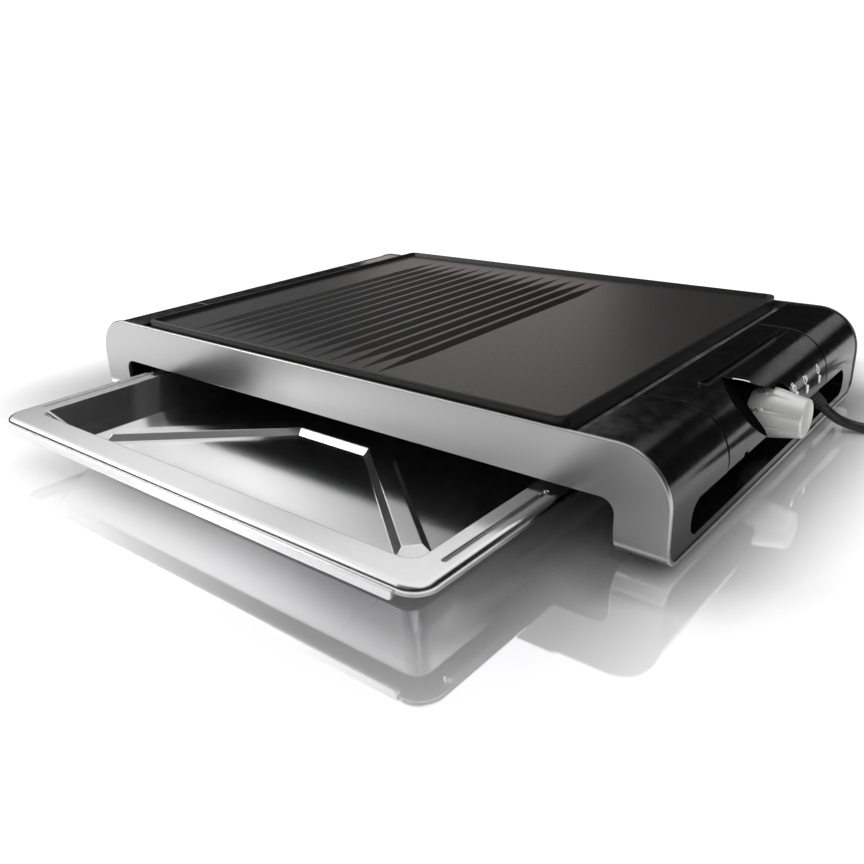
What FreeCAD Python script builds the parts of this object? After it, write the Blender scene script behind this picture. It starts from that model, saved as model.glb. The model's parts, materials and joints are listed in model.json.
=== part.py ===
import FreeCAD, Part
import math
import os

# Electric table grill. Origin on the floor under the middle of the body, X along its long side
# towards the control unit, the drip tray comes out along -Y, +Z up. All sizes in millimetres.

Vec = FreeCAD.Vector

# Whole body
body_length = 535.0
body_depth = 350.0
body_top = 74.6
floor_gap = 5.5
shoulder_radius = 33.5

# Pressed silver front and rear sheets, and the strips that join their feet
sheet = 2.5
leg_width = 32.7
opening_top = 40.5
opening_corner = 9.0
rear_opening_top = 16.0
roll_radius = 13.5
roll_end = 132.5
sheet_edge_radius = 1.1
seam = 0.5

# End housings
reveal = 0.8
housing_wall = 2.5
housing_width = 57.5
housing_corner = 10.5
slot_half = 145.0
slot_bottom = 13.5
slot_top = 35.7
slot_corner_top = 12.0
slot_corner_bottom = 8.0
pocket_depth = 24.0
pocket_wall = 1.8
bottom_plate_thickness = 2.0
bottom_plate_reach = 117.0
mouth_corner_depth = 53.0
mouth_corner_rise = 1.0
fit_gap = 0.3

# Dock and the unit in it
dock_half = 94.6
dock_wall = 2.2
dock_gap = 0.5
dock_opening = (-30.0, 47.0, 52.0, 70.5)
dock_back = 2.7
unit_wall = 2.2
grip_in = 36.7
grip_width = 6.5
grip_half = 64.0
grip_height = 1.5
grip_round = 0.5
grip_groove = 2.0
grip_groove_depth = 2.5
score_width = 0.6
score_depth = 0.5
unit_edge_round = 0.6
base_sheet = 2.0
base_gap = 0.2
latch_notch_y = -66.0
latch_notch_half = 3.0
latch_notch_height = 2.2
latch_notch_depth = 4.0

# Scoop in front of the knob: a slanted cut under a second plane, open towards the front
scoop_in = 28.6
scoop_y = -43.2
scoop_z = 73.4
scoop_normal = Vec(0.69, 0.34, 0.64)
scoop_roof_y = -38.0
scoop_roof_z = 73.0
scoop_roof_drop = 22.6

# Knob; its places along X are measured in from the body's end face, or out from it (reach)
knob_z = 41.5
collar_radius = 19.5
collar_in = 22.6
knob_gap = 1.1
knob_wide_in = 14.5
knob_back_radius = 14.4
knob_wide_radius = 17.5
knob_front_radius = 13.2
knob_face_radius = 12.0
knob_reach = 14.4
knob_bevel = 1.4
knob_wall = 2.0
knob_boss = 6.0
groove_count = 9
groove_radius = 1.5
groove_depth = 0.8
groove_in = 10.5
groove_length = 19.0
groove_angle = 28.0
shaft_radius = 3.0
shaft_reach = 4.5
running_gap = 0.05

# Indicator lenses
lens_half_width = 2.0
lens_half_height = 3.15
lens_places = ((25.5, 47.0), (49.0, 45.0), (76.5, 44.6))
lens_proud = 0.25
lens_in = 5.5
lens_bevel = 0.4
lamp_board_in = 13.5
lamp_board_thickness = 1.6
lamp_board_front = 23.2
lamp_board_rear = 66.0
lamp_board_wing = 82.0
lamp_board_top = 56.0
lamp_board_wing_bottom = 42.0
lamp_radius = 1.8

# Grill plate
plate_side_gap = 10.0
plate_front_gap = 4.0
plate_corner = 7.0
plate_edge_round = 1.6
plate_top = 80.0
plate_surface = 76.5
plate_under = 71.0
plate_foot = 69.0
rim_width = 3.0
rim_slope = 2.0
skirt_width = 6.0
groove_pitch = 15.33
grooves = 14
last_groove_x = 50.1
groove_half = 5.4
groove_drop = 3.6
groove_flat_half = 1.6
groove_front_in = 8.0
groove_rear_in = 25.0
groove_ramp = 44.0
drain_x = 120.0
drain_in = 8.5
drain_half = 11.0
drain_radius = 2.5
spout_wall = 1.5

# Base frame, pan and element
frame_gap = 0.3
frame_wall = 1.5
frame_bottom = 42.0
frame_ledge = 9.0
frame_window_top = 66.9
frame_window_radius = 1.0
pan_sheet = 0.8
pan_gap = 0.4
pan_top = 50.0
pan_corner = 8.0
pan_drain_radius = 9.0
pan_drain_inset = 27.0
element_radius = 3.25
element_z = 61.0
element_rows = (20.0, 60.0, 120.0)
element_left_inner = -130.0
element_right_in = 70.0
element_left_in = 30.0
element_corner = 20.0
block_depth = 12.0
pin_radius = 2.0
pin_reach = 18.5
pin_root_in = 7.0
earth_pin_y = 38.0
block_gap = 0.4
bracket_places = (-110.0, 0.0, 110.0)
bracket_sheet = 1.2
bracket_margin = 25.0

# Probe and thermostat
probe_radius = 3.0
probe_z = 62.5
probe_reach = 45.0
sleeve_wall = 1.5
sleeve_length = 17.0
thermostat_half = 12.0
thermostat_standoff = 4.0
thermostat_length = 16.8
thermostat_top = 53.0
thermostat_neck_length = 7.8
thermostat_neck_top = 68.5
probe_hold = 4.8
shaft_hold = 8.8
bush_radius = 5.0
bush_length = 4.0
clip_thickness = 1.0
clip_gap = 0.6

# Drip tray, drawn out by tray_open
tray_open = 125.0
tray_front_reach = 5.0
tray_rear_gap = 16.5
tray_sheet = 1.2
tray_side_gap = 6.5
tray_top = 36.1
tray_skirt_bottom = 30.5
tray_corner = 15.0
tray_rear_corner = 6.5
tray_edge_round = 4.0
tray_front_step = 1.5
tray_flange_width = 20.5
tray_well_front = 22.0
tray_well_rear = 16.0
tray_well_corner = 9.0
tray_step_in = 12.0
tray_step_z = 20.0
tray_floor_in = 18.0
tray_floor_z = 12.0
tray_lip_in = 16.5
tray_lip_bottom = 26.5
bead_in = 9.5
bead_front = 31.0
bead_length = 96.0
bead_half = 1.8
bead_depth = 1.6
emboss_height = 4.6
emboss_centre_half_x = 47.0
emboss_centre_half_y = 26.0
emboss_arm_half = 10.5
emboss_slope = 4.6
emboss_arm_x = 152.0
emboss_arm_front = 57.0
emboss_arm_rear = 57.0

# Tray rails
rail_sheet = 2.0
rail_ledge = 8.7
rail_front_in = 65.0
rail_headroom = 1.3

# Feet and screws
foot_in = 27.5
foot_edge_in = 9.0
foot_radius = 9.0
foot_bevel = 1.2
foot_stem_radius = 2.6
screw_head_radius = 3.0
screw_head_height = 1.6
screw_radius = 1.5
screw_length = 9.0
boss_radius = 3.6
boss_height = 14.0
boss_in = 13.0
rail_screw_y = (-90.0, 0.0, 120.0)
rail_screw_length = 4.6
frame_screw_y = (-140.0, 140.0)
frame_screw_z = 58.0

# Mains cord
cord_radius = 3.75
relief_in = 10.5
relief_y = 82.0
relief_z = 33.0
relief_start_radius = 5.4
relief_end_radius = 4.5
relief_flange = 2.0
relief_flange_height = 3.0
cord_points = (
    (267.5, 88.5, 21.0), (274.43, 92.79, 13.08), (282.4, 97.5, 7.4), (292.5, 101.4, 4.4), (305.0, 104.0, 3.85),
    (319.0, 105.9, 3.75), (333.0, 106.3, 3.9), (347.0, 105.6, 4.5), (360.5, 105.0, 4.75), (374.5, 105.0, 4.75))
cord_straight = 7.5
coil_x = 382.0
coil_y = 155.0
coil_radius = 50.0
coil_pitch = 8.1
coil_half_turns = 5
coil_inner_step = 1.2
tie_sheet = 1.0
tie_width = 10.0
tie_gap = 0.5
plug_rise_run = 26.0
plug_radius = 18.5
plug_tail = 10.0
plug_length = 30.0
plug_pin_radius = 2.4
plug_pin_length = 19.0
plug_pin_spread = 9.5

# Values that follow from the sizes above
half_length = body_length / 2
half_depth = body_depth / 2
leg_inner_x = half_length - leg_width
housing_inner_x = half_length - housing_width
leg_foot_z = floor_gap + roll_radius
pin_places = (-element_rows[0], element_rows[0], earth_pin_y)
housing_x = half_length - reveal
housing_top = body_top - reveal
housing_y = half_depth - sheet - seam
housing_bottom = floor_gap + sheet
unit_in = housing_inner_x + dock_back + 0.5
unit_bottom = slot_top + fit_gap
unit_half = dock_half
grip_x = half_length - grip_in
scoop_point = Vec(half_length - scoop_in, scoop_y, scoop_z)
scoop_roof_point = Vec(half_length - scoop_in, scoop_roof_y, scoop_roof_z)
thermostat_start = unit_in + thermostat_standoff
thermostat_end = thermostat_start + thermostat_length
bush_end = thermostat_end + bush_length
collar_end = half_length - collar_in
knob_start = collar_end + knob_gap
knob_wide_x = half_length - knob_wide_in
knob_end = half_length + knob_reach
groove_start = half_length - groove_in
groove_end = groove_start + groove_length
shaft_end = half_length + shaft_reach
lens_back = half_length - lens_in
lamp_board_x = half_length - lamp_board_in
plate_screw_z = housing_bottom + base_gap
frame_half_x = housing_inner_x - frame_gap
frame_half_y = half_depth - sheet - frame_gap
frame_top = plate_foot - fit_gap
plate_half_x = housing_inner_x - plate_side_gap
plate_half_y = half_depth - plate_front_gap
groove_front = plate_half_y - groove_front_in
groove_rear = plate_half_y - groove_rear_in
drain_y = drain_in - plate_half_y
element_right_turn = housing_inner_x - element_right_in
element_left_outer = element_left_in - housing_inner_x
block_in = housing_inner_x - block_depth
pin_root = housing_inner_x - pin_root_in
pin_end = housing_inner_x + pin_reach
probe_tip = housing_inner_x - probe_reach
tray_closed_front = half_depth + tray_front_reach
tray_length = tray_closed_front + half_depth - sheet - tray_rear_gap
tray_half = housing_inner_x - tray_side_gap
tray_well_half = tray_half - tray_flange_width
tray_step_half = tray_well_half - tray_step_in
tray_floor_half = tray_well_half - tray_floor_in
tray_lip_half = tray_half - tray_lip_in
bead_x = tray_half - bead_in
emboss_centre_y = tray_length / 2
tray_front = -(tray_closed_front + tray_open)
tray_stop = tray_length - tray_closed_front + fit_gap
rail_front = rail_front_in - half_depth
rail_rear = tray_stop + rail_sheet
foot_x = half_length - foot_in
foot_y = bottom_plate_reach - foot_edge_in
boss_x = housing_inner_x + housing_wall + boss_radius + 0.5
boss_places = (boss_in - bottom_plate_reach, 0.0, bottom_plate_reach - boss_in)
relief_start = Vec(half_length - relief_in, relief_y, relief_z)
relief_end = Vec(half_length, cord_points[0][1], cord_points[0][2])
coil_base = cord_radius + tie_sheet
plug_x = coil_x - 2 * cord_straight - plug_rise_run


def box(x0, x1, y0, y1, z0, z1):
    return Part.makeBox(x1 - x0, y1 - y0, z1 - z0, Vec(x0, y0, z0))


def cylinder(radius, start, end):
    axis = end.sub(start)
    return Part.makeCylinder(radius, axis.Length, start, axis)


def cone(radius0, radius1, start, end):
    axis = end.sub(start)
    return Part.makeCone(radius0, radius1, axis.Length, start, axis)


def in_xz(y):
    return lambda a, b: Vec(a, y, b)


def in_yz(x):
    return lambda a, b: Vec(x, a, b)


def in_xy(z):
    return lambda a, b: Vec(a, b, z)


def rounded_wire(corners, place):
    """A closed wire through corners (a, b, radius), each turned by an arc of its radius."""
    edges = []
    starts = []
    ends = []
    arcs = []
    count = len(corners)
    for i in range(count):
        before, here, after = corners[i - 1], corners[i], corners[(i + 1) % count]
        to_before = Vec(before[0] - here[0], before[1] - here[1], 0)
        to_after = Vec(after[0] - here[0], after[1] - here[1], 0)
        to_before.normalize()
        to_after.normalize()
        point = Vec(here[0], here[1], 0)
        radius = here[2] if len(here) > 2 else 0.0
        if radius <= 0:
            starts.append(point)
            ends.append(point)
            arcs.append(None)
            continue
        half = to_before.getAngle(to_after) / 2
        reach = radius / math.tan(half)
        bisector = to_before.add(to_after)
        bisector.normalize()
        centre = point.add(bisector * (radius / math.sin(half)))
        starts.append(point.add(to_before * reach))
        ends.append(point.add(to_after * reach))
        arcs.append(centre.sub(bisector * radius))
    for i in range(count):
        if arcs[i] is not None:
            first, middle, last = starts[i], arcs[i], ends[i]
            edges.append(Part.Arc(place(first.x, first.y), place(middle.x, middle.y),
                                  place(last.x, last.y)).toShape())
        first, last = ends[i], starts[(i + 1) % count]
        if first.distanceToPoint(last) > 1e-6:
            edges.append(Part.LineSegment(place(first.x, first.y), place(last.x, last.y)).toShape())
    return Part.Wire(edges)


def prism(corners, place, along):
    return Part.Face(rounded_wire(corners, place)).extrude(along)


def rectangle(a0, a1, b0, b1, radius=0.0):
    return [(a0, b0, radius), (a1, b0, radius), (a1, b1, radius), (a0, b1, radius)]


def loft(*wires):
    return Part.makeLoft(list(wires), True, True)


def fuse(first, *others):
    return first.fuse(list(others)).removeSplitter()


def mirror_x(shape):
    return shape.mirror(Vec(0, 0, 0), Vec(1, 0, 0))


def mirror_y(shape):
    return shape.mirror(Vec(0, 0, 0), Vec(0, 1, 0))


def rounded_top(block, radius):
    """The block with the edges of its top face rounded."""
    top = block.BoundBox.ZMax - 0.01
    return block.makeFillet(radius, [edge for edge in block.Edges if edge.BoundBox.ZMin > top])


def group(*solids):
    return Part.makeCompound(list(solids))


def save(name, shape):
    shape.exportStep("parts/" + name + ".step")


# Silver front and rear

def rolled_foot():
    """The foot of one leg, turned under the body, on the front right corner."""
    front = -half_depth
    turn_z = floor_gap + roll_radius
    inner = roll_radius - sheet
    middle = front + roll_radius
    diagonal = math.sqrt(0.5)
    edges = [
        Part.Arc(Vec(leg_inner_x, front, turn_z),
                 Vec(leg_inner_x, middle - roll_radius * diagonal, turn_z - roll_radius * diagonal),
                 Vec(leg_inner_x, middle, floor_gap)).toShape(),
        Part.LineSegment(Vec(leg_inner_x, middle, floor_gap), Vec(leg_inner_x, -roll_end, floor_gap)).toShape(),
        Part.LineSegment(Vec(leg_inner_x, -roll_end, floor_gap),
                         Vec(leg_inner_x, -roll_end, floor_gap + sheet)).toShape(),
        Part.LineSegment(Vec(leg_inner_x, -roll_end, floor_gap + sheet),
                         Vec(leg_inner_x, middle, floor_gap + sheet)).toShape(),
        Part.Arc(Vec(leg_inner_x, middle, floor_gap + sheet),
                 Vec(leg_inner_x, middle - inner * diagonal, turn_z - inner * diagonal),
                 Vec(leg_inner_x, front + sheet, turn_z)).toShape(),
        Part.LineSegment(Vec(leg_inner_x, front + sheet, turn_z), Vec(leg_inner_x, front, turn_z)).toShape()]
    return Part.Face(Part.Wire(edges)).extrude(Vec(leg_width, 0, 0))


def over_shoulders():
    """Corners of a silver sheet's face from its left foot over both shoulders to its right foot."""
    return [
        (-half_length, leg_foot_z), (-half_length, body_top, shoulder_radius),
        (half_length, body_top, shoulder_radius), (half_length, leg_foot_z)]


def silver_sheet(corners, *aprons):
    """A flat face with feet that roll under the body, its outer edge rounded."""
    face = prism(corners, in_xz(-half_depth), Vec(0, sheet, 0))
    foot = rolled_foot()
    whole = fuse(face, foot, mirror_x(foot), *aprons)
    edges = [edge for edge in whole.Edges if is_outer_front_edge(edge)]
    return whole.makeFillet(sheet_edge_radius, edges)


def front_sheet():
    """The front sheet leaves a wide mouth for the tray between its legs."""
    mouth = [
        (leg_inner_x, leg_foot_z), (leg_inner_x, opening_top, opening_corner),
        (-leg_inner_x, opening_top, opening_corner), (-leg_inner_x, leg_foot_z)]
    return silver_sheet(over_shoulders() + mouth)


def is_outer_front_edge(edge):
    """True on the front face's edge from foot to foot over the shoulders."""
    if abs(edge.BoundBox.YMin + half_depth) > 0.01 or edge.BoundBox.YLength > 0.01:
        return False
    middle = edge.valueAt((edge.FirstParameter + edge.LastParameter) / 2)
    return abs(middle.x) > half_length - 0.01 or middle.z > opening_top + opening_corner


def rear_sheet():
    """The rear sheet is closed down to its low edge, so that the tray stays in."""
    apron = box(-leg_inner_x - 1, leg_inner_x + 1, -half_depth, -half_depth + sheet, rear_opening_top, leg_foot_z + 1)
    return mirror_y(silver_sheet(over_shoulders(), apron))


def bottom_trim():
    """The silver strip between the feet, under the right end."""
    reach = roll_end - fit_gap
    strip = box(leg_inner_x, half_length, -reach, reach, floor_gap, floor_gap + sheet)
    holes = [cylinder(foot_stem_radius + fit_gap, Vec(foot_x, y, floor_gap - 1), Vec(foot_x, y, housing_bottom + 1))
             for y in (-foot_y, foot_y)]
    return strip.cut(holes)


# Black end housings

def end_profile(inner_x, inset, bottom):
    """Corners of the right end's cross-section, drawn in from the outer surface by inset."""
    return [
        (inner_x, bottom), (housing_x - inset, bottom),
        (housing_x - inset, housing_top - inset, shoulder_radius - reveal - inset),
        (inner_x, housing_top - inset)]


def end_block(inner_x, inset, bottom, corner):
    """The end's solid form, its lower front and rear corners rounded like the silver feet."""
    reach = housing_y - inset
    across = prism(end_profile(inner_x, inset, bottom), in_xz(-reach), Vec(0, 2 * reach, 0))
    side = [
        (-reach, bottom, corner), (reach, bottom, corner), (reach, housing_top + 1), (-reach, housing_top + 1)]
    along = prism(side, in_yz(inner_x - 1), Vec(half_length - inner_x + 2, 0, 0))
    return across.common(along)


def slot_outline(grow):
    return [
        (-slot_half - grow, slot_bottom - grow, slot_corner_bottom + grow),
        (slot_half + grow, slot_bottom - grow, slot_corner_bottom + grow),
        (slot_half + grow, slot_top + grow, slot_corner_top),
        (-slot_half - grow, slot_top + grow, slot_corner_top)]


def mouth_corner(grow):
    """The part of the tray's mouth that the housing leaves free behind the front sheet."""
    return box(housing_inner_x - 1, leg_inner_x + grow, -half_depth, mouth_corner_depth - half_depth + grow,
               housing_bottom - 1, opening_top + mouth_corner_rise + grow)


def end_housing():
    """Right end housing: a shell with the handle slot, its pocket and the dock."""
    outer = end_block(housing_inner_x, 0.0, housing_bottom, housing_corner)
    floor = housing_bottom + housing_wall
    inner = end_block(housing_inner_x + housing_wall, housing_wall, floor, housing_corner - housing_wall)
    mouth = box(housing_inner_x + housing_wall, housing_x - housing_wall,
                -bottom_plate_reach - fit_gap, bottom_plate_reach + fit_gap, housing_bottom - 1, floor + 0.1)
    shell = outer.cut([inner, mouth])
    pocket_x = housing_x - pocket_depth
    pocket = prism(slot_outline(pocket_wall), in_yz(pocket_x - pocket_wall),
                   Vec(pocket_depth + pocket_wall - 0.5, 0, 0))
    dock = box(housing_inner_x + 0.5, half_length, -dock_half - dock_gap - dock_wall,
               dock_half + dock_gap + dock_wall, slot_top - dock_wall, housing_top + 1).common(outer)
    shell = shell.fuse([pocket, dock, mouth_corner(housing_wall).common(outer)])
    recess = box(housing_inner_x + dock_back, half_length + 1, -dock_half - dock_gap, dock_half + dock_gap,
                 slot_top, housing_top + 2)
    void = prism(slot_outline(0.0), in_yz(pocket_x), Vec(pocket_depth + 5, 0, 0))
    y0, y1, z0, z1 = dock_opening
    opening = prism(rectangle(y0, y1, z0, z1, 3.0), in_yz(housing_inner_x - 1), Vec(dock_back + 2, 0, 0))
    bosses = [cylinder(boss_radius, Vec(boss_x, y, floor), Vec(boss_x, y, floor + boss_height)) for y in boss_places]
    holes = [screw_hole(place) for place in plate_screw_places() + rail_screw_places() + frame_screw_places()]
    housing = shell.fuse(bosses).cut([recess, void, opening, mouth_corner(0.0)] + holes).removeSplitter()
    return housing.makeFillet(unit_edge_round, [edge for edge in housing.Edges if is_dock_edge(edge)])


def is_dock_edge(edge):
    """True on the housing's outer edges along both seams of the dock."""
    bounds = edge.BoundBox
    if bounds.YLength > 0.01 or abs(abs(bounds.YMin) - dock_half - dock_gap) > 0.01:
        return False
    middle = edge.valueAt((edge.FirstParameter + edge.LastParameter) / 2)
    return middle.z > housing_top - 0.01 or middle.x > housing_x - shoulder_radius + reveal and middle.z > knob_z


def bottom_plate():
    """Closes the right housing from below."""
    x0 = housing_inner_x + housing_wall + fit_gap
    x1 = housing_x - housing_wall - fit_gap
    plate = prism(rectangle(x0, x1, -bottom_plate_reach, bottom_plate_reach, 4.0), in_xy(plate_screw_z),
                  Vec(0, 0, bottom_plate_thickness))
    return plate.cut([screw_hole(place) for place in plate_screw_places()])


# Control unit

def half_space(point, normal, shift):
    """A large block on the outer side of a plane, the plane moved along its normal by shift."""
    unit = Vec(normal)
    unit.normalize()
    across = unit.cross(Vec(0, 1, 0))
    across.normalize()
    up = unit.cross(across)
    size = 150.0
    origin = point.add(unit * shift)
    ring = [origin.add(across * (a * size)).add(up * (b * size)) for a, b in ((-1, -1), (1, -1), (1, 1), (-1, 1))]
    return Part.Face(Part.makePolygon(ring + [ring[0]])).extrude(unit * size)


def rounded_end(inner_x, inset, bottom, reach):
    """The end's cross-section between two seams, with its outer edges rounded there."""
    form = prism(end_profile(inner_x, inset, bottom), in_xz(-reach), Vec(0, 2 * reach, 0))
    edges = []
    for edge in form.Edges:
        middle = edge.valueAt((edge.FirstParameter + edge.LastParameter) / 2)
        outside = middle.z > housing_top - inset - 0.01 or middle.x > housing_x - inset - shoulder_radius + reveal
        if edge.BoundBox.YLength < 0.01 and outside and middle.z > bottom + 0.01:
            edges.append(edge)
    return form.makeFillet(unit_edge_round, edges)


def unit_form(inset, bottom, reach, inner_x):
    """The unit's solid form, drawn in by inset, with scoop, collar and knob pocket."""
    form = rounded_end(inner_x, inset, bottom, reach)
    axis_in = Vec(inner_x - 1, 0, knob_z)
    collar = cylinder(collar_radius - inset, axis_in, Vec(half_length, 0, knob_z))
    cut = half_space(scoop_point, scoop_normal, -inset)
    angle = math.radians(scoop_roof_drop)
    roof = half_space(scoop_roof_point, Vec(0, -math.sin(angle), -math.cos(angle)), -inset)
    in_front = box(inner_x - 1, half_length + 5, -reach - 1, inset, bottom - 1, housing_top + 1)
    scoop = cut.common(roof).common(in_front).cut(collar)
    pocket = cylinder(collar_radius + inset, Vec(collar_end - inset, 0, knob_z), Vec(half_length + 5, 0, knob_z))
    return form.cut([scoop, pocket])


def grip_ridge():
    """Raised double lip on the unit's deck, which the fingers pull."""
    z = housing_top - 1.0
    pad = prism(rectangle(grip_x, grip_x + grip_width, -grip_half, grip_half, grip_width / 2 - 0.05), in_xy(z),
                Vec(0, 0, grip_height + 1.0))
    return rounded_top(pad, grip_round)


def grip_groove_tool():
    x0 = grip_x + (grip_width - grip_groove) / 2
    z1 = housing_top + grip_height + 1
    reach = grip_half - 2.0
    return prism(rectangle(x0, x0 + grip_groove, -reach, reach, grip_groove / 2 - 0.05),
                 in_xy(housing_top + grip_height - grip_groove_depth), Vec(0, 0, z1 - housing_top + 2))


def score_lines():
    """Fine lines on the deck from the grip's ends to the unit's seams."""
    lines = []
    for x in (grip_x, grip_x + grip_width - score_width):
        for y0, y1 in ((-unit_half - 1, grip_width / 2 - grip_half), (grip_half - grip_width / 2, unit_half + 1)):
            lines.append(box(x, x + score_width, y0, y1, housing_top - score_depth, housing_top + 0.1))
    return lines


def lens_form(place, x0, x1):
    """An upright oval rod at a lens's place."""
    y, z = place
    oval = rectangle(y - lens_half_width, y + lens_half_width, z - lens_half_height, z + lens_half_height,
                     lens_half_width - 0.05)
    return prism(oval, in_yz(x0), Vec(x1 - x0, 0, 0))


def control_cover():
    outer = unit_form(0.0, unit_bottom, unit_half, unit_in)
    inner = unit_form(unit_wall, unit_bottom - 1, unit_half - unit_wall, unit_in - 1)
    shell = outer.cut(inner).fuse(grip_ridge())
    lens_holes = [lens_form(place, lens_back, half_length + 1) for place in lens_places]
    shaft_hole = cylinder(shaft_radius + 2 * fit_gap, Vec(bush_end, 0, knob_z), Vec(knob_start, 0, knob_z))
    notch = box(housing_x - latch_notch_depth, half_length, latch_notch_y - latch_notch_half,
                latch_notch_y + latch_notch_half, unit_bottom - 1, unit_bottom + latch_notch_height)
    return shell.cut([grip_groove_tool(), shaft_hole, notch] + score_lines() + lens_holes).removeSplitter()


def blank_cover():
    """The left end's centre cover: the same form with no grip, knob or scoop."""
    outer = rounded_end(unit_in, 0.0, unit_bottom, unit_half)
    reach = unit_half - unit_wall
    inner = prism(end_profile(unit_in - 1, unit_wall, unit_bottom - 1), in_xz(-reach), Vec(0, 2 * reach, 0))
    return mirror_x(outer.cut(inner))


def control_base():
    """Floor and inner wall of the unit, inside its cover."""
    inset = unit_wall + base_gap
    reach = unit_half - inset
    inside = unit_form(inset, unit_bottom, reach, unit_in)
    floor = box(unit_in, half_length, -reach, reach, unit_bottom, unit_bottom + base_sheet)
    wall = box(unit_in, unit_in + base_sheet, -reach, reach, unit_bottom, housing_top)
    base = floor.fuse(wall).common(inside)
    through = base_sheet + 1
    pins = [cylinder(pin_radius + sleeve_wall, Vec(unit_in - 1, y, element_z), Vec(unit_in + through, y, element_z))
            for y in pin_places]
    probe = cylinder(probe_radius, Vec(unit_in - 1, 0, probe_z), Vec(unit_in + through, 0, probe_z))
    cord = cylinder(relief_start_radius, Vec(relief_start.x, relief_start.y, unit_bottom - 1),
                    Vec(relief_start.x, relief_start.y, unit_bottom + through))
    window_end = bush_end + clip_gap + clip_thickness + fit_gap
    window_half = bush_radius + fit_gap
    window = box(thermostat_end - 1 - fit_gap, window_end, -window_half, window_half, unit_bottom - 1,
                 unit_bottom + through)
    return base.cut([probe, cord, window] + pins).removeSplitter()


def thermostat_body():
    """Ceramic body with a neck for the probe and a bush for the knob's shaft."""
    half = thermostat_half
    low = box(thermostat_start, thermostat_end, -half, half, unit_bottom + base_sheet, thermostat_top)
    neck = box(thermostat_start, thermostat_start + thermostat_neck_length, -half, half, thermostat_top - 1,
               thermostat_neck_top)
    bush = cylinder(bush_radius, Vec(thermostat_end - 1, 0, knob_z), Vec(bush_end, 0, knob_z))
    shaft = cylinder(shaft_radius + running_gap, Vec(thermostat_start + shaft_hold - 1, 0, knob_z),
                     Vec(bush_end + 1, 0, knob_z))
    probe = cylinder(probe_radius, Vec(unit_in, 0, probe_z), Vec(thermostat_start + probe_hold, 0, probe_z))
    return fuse(low, neck, bush).cut([shaft, probe])


def thermostat_probe():
    tip = Vec(probe_tip, 0, probe_z)
    rod = cylinder(probe_radius, tip, Vec(thermostat_start + probe_hold, 0, probe_z))
    return rod.fuse(Part.makeSphere(probe_radius, tip)).removeSplitter()


def contact_sleeves():
    sleeves = []
    for y in pin_places:
        start = Vec(unit_in, y, element_z)
        end = Vec(unit_in + sleeve_length, y, element_z)
        outer = cylinder(pin_radius + sleeve_wall, start, end)
        sleeves.append(outer.cut(cylinder(pin_radius + running_gap, start.sub(Vec(1, 0, 0)), end.sub(Vec(1.5, 0, 0)))))
    return group(*sleeves)


def indicator_lenses():
    lenses = []
    face = housing_x + lens_proud
    for place in lens_places:
        rod = lens_form(place, lens_back, face)
        lenses.append(rod.makeFillet(lens_bevel, [edge for edge in rod.Edges if edge.BoundBox.XMin > face - 0.01]))
    return group(*lenses)


def lamp_board():
    """Upright board behind the lenses; its rear end clears the cord's flange."""
    back = lamp_board_x
    face = lamp_board_x + lamp_board_thickness
    standing = box(back, face, lamp_board_front, lamp_board_rear, unit_bottom + base_sheet, lamp_board_top)
    wing = box(back, face, lamp_board_rear - 1, lamp_board_wing, lamp_board_wing_bottom, lamp_board_top)
    return fuse(standing, wing)


def indicator_lamps():
    face = lamp_board_x + lamp_board_thickness
    end = lens_back - fit_gap
    return group(*[cylinder(lamp_radius, Vec(face, y, z), Vec(end, y, z)) for y, z in lens_places])


# Knob

def knob_radius_at(x):
    slope = (knob_wide_radius - knob_front_radius) / (knob_end - knob_wide_x)
    return knob_wide_radius - slope * (x - knob_wide_x)


def turned(points):
    """A solid of revolution about the knob's axis from points (x, radius)."""
    ring = [Vec(x, 0, knob_z + r) for x, r in points]
    face = Part.Face(Part.makePolygon(ring + [ring[0]]))
    return face.revolve(Vec(0, 0, knob_z), Vec(1, 0, 0), 360)


def control_knob():
    bevel_x = knob_end - knob_bevel
    outer = turned([(knob_start, 0), (knob_start, knob_back_radius), (knob_wide_x, knob_wide_radius),
                    (bevel_x, knob_radius_at(bevel_x)), (knob_end, knob_face_radius), (knob_end, 0)])
    inside_end = knob_end - 6.0
    hollow = turned([(knob_start - 1, knob_boss), (knob_start - 1, knob_back_radius - knob_wall),
                     (knob_wide_x, knob_wide_radius - knob_wall),
                     (inside_end, knob_radius_at(inside_end) - knob_wall), (inside_end, knob_boss)])
    bore = cylinder(shaft_radius, Vec(knob_start - 1, 0, knob_z), Vec(shaft_end, 0, knob_z))
    tools = [hollow, bore]
    start_r = knob_radius_at(groove_start) + groove_radius - groove_depth
    end_r = knob_radius_at(groove_end) + groove_radius
    for i in range(groove_count):
        angle = math.radians(groove_angle + i * 360.0 / groove_count)
        out = Vec(0, -math.sin(angle), math.cos(angle))
        start = Vec(groove_start, 0, knob_z).add(out * start_r)
        end = Vec(groove_end, 0, knob_z).add(out * end_r)
        tools.append(cylinder(groove_radius, start, end))
    return outer.cut(tools)


def knob_shaft():
    return cylinder(shaft_radius, Vec(thermostat_start + shaft_hold, 0, knob_z), Vec(shaft_end, 0, knob_z))


def knob_clip():
    start = Vec(bush_end + clip_gap, 0, knob_z)
    end = Vec(bush_end + clip_gap + clip_thickness, 0, knob_z)
    return cylinder(bush_radius, start, end).cut(cylinder(shaft_radius, start, end))


# Grill plate

def plate_outline(inset, z):
    return rounded_wire(rectangle(-plate_half_x + inset, plate_half_x - inset, -plate_half_y + inset,
                                  plate_half_y - inset, max(plate_corner - inset, 1.0)), in_xy(z))


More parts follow.
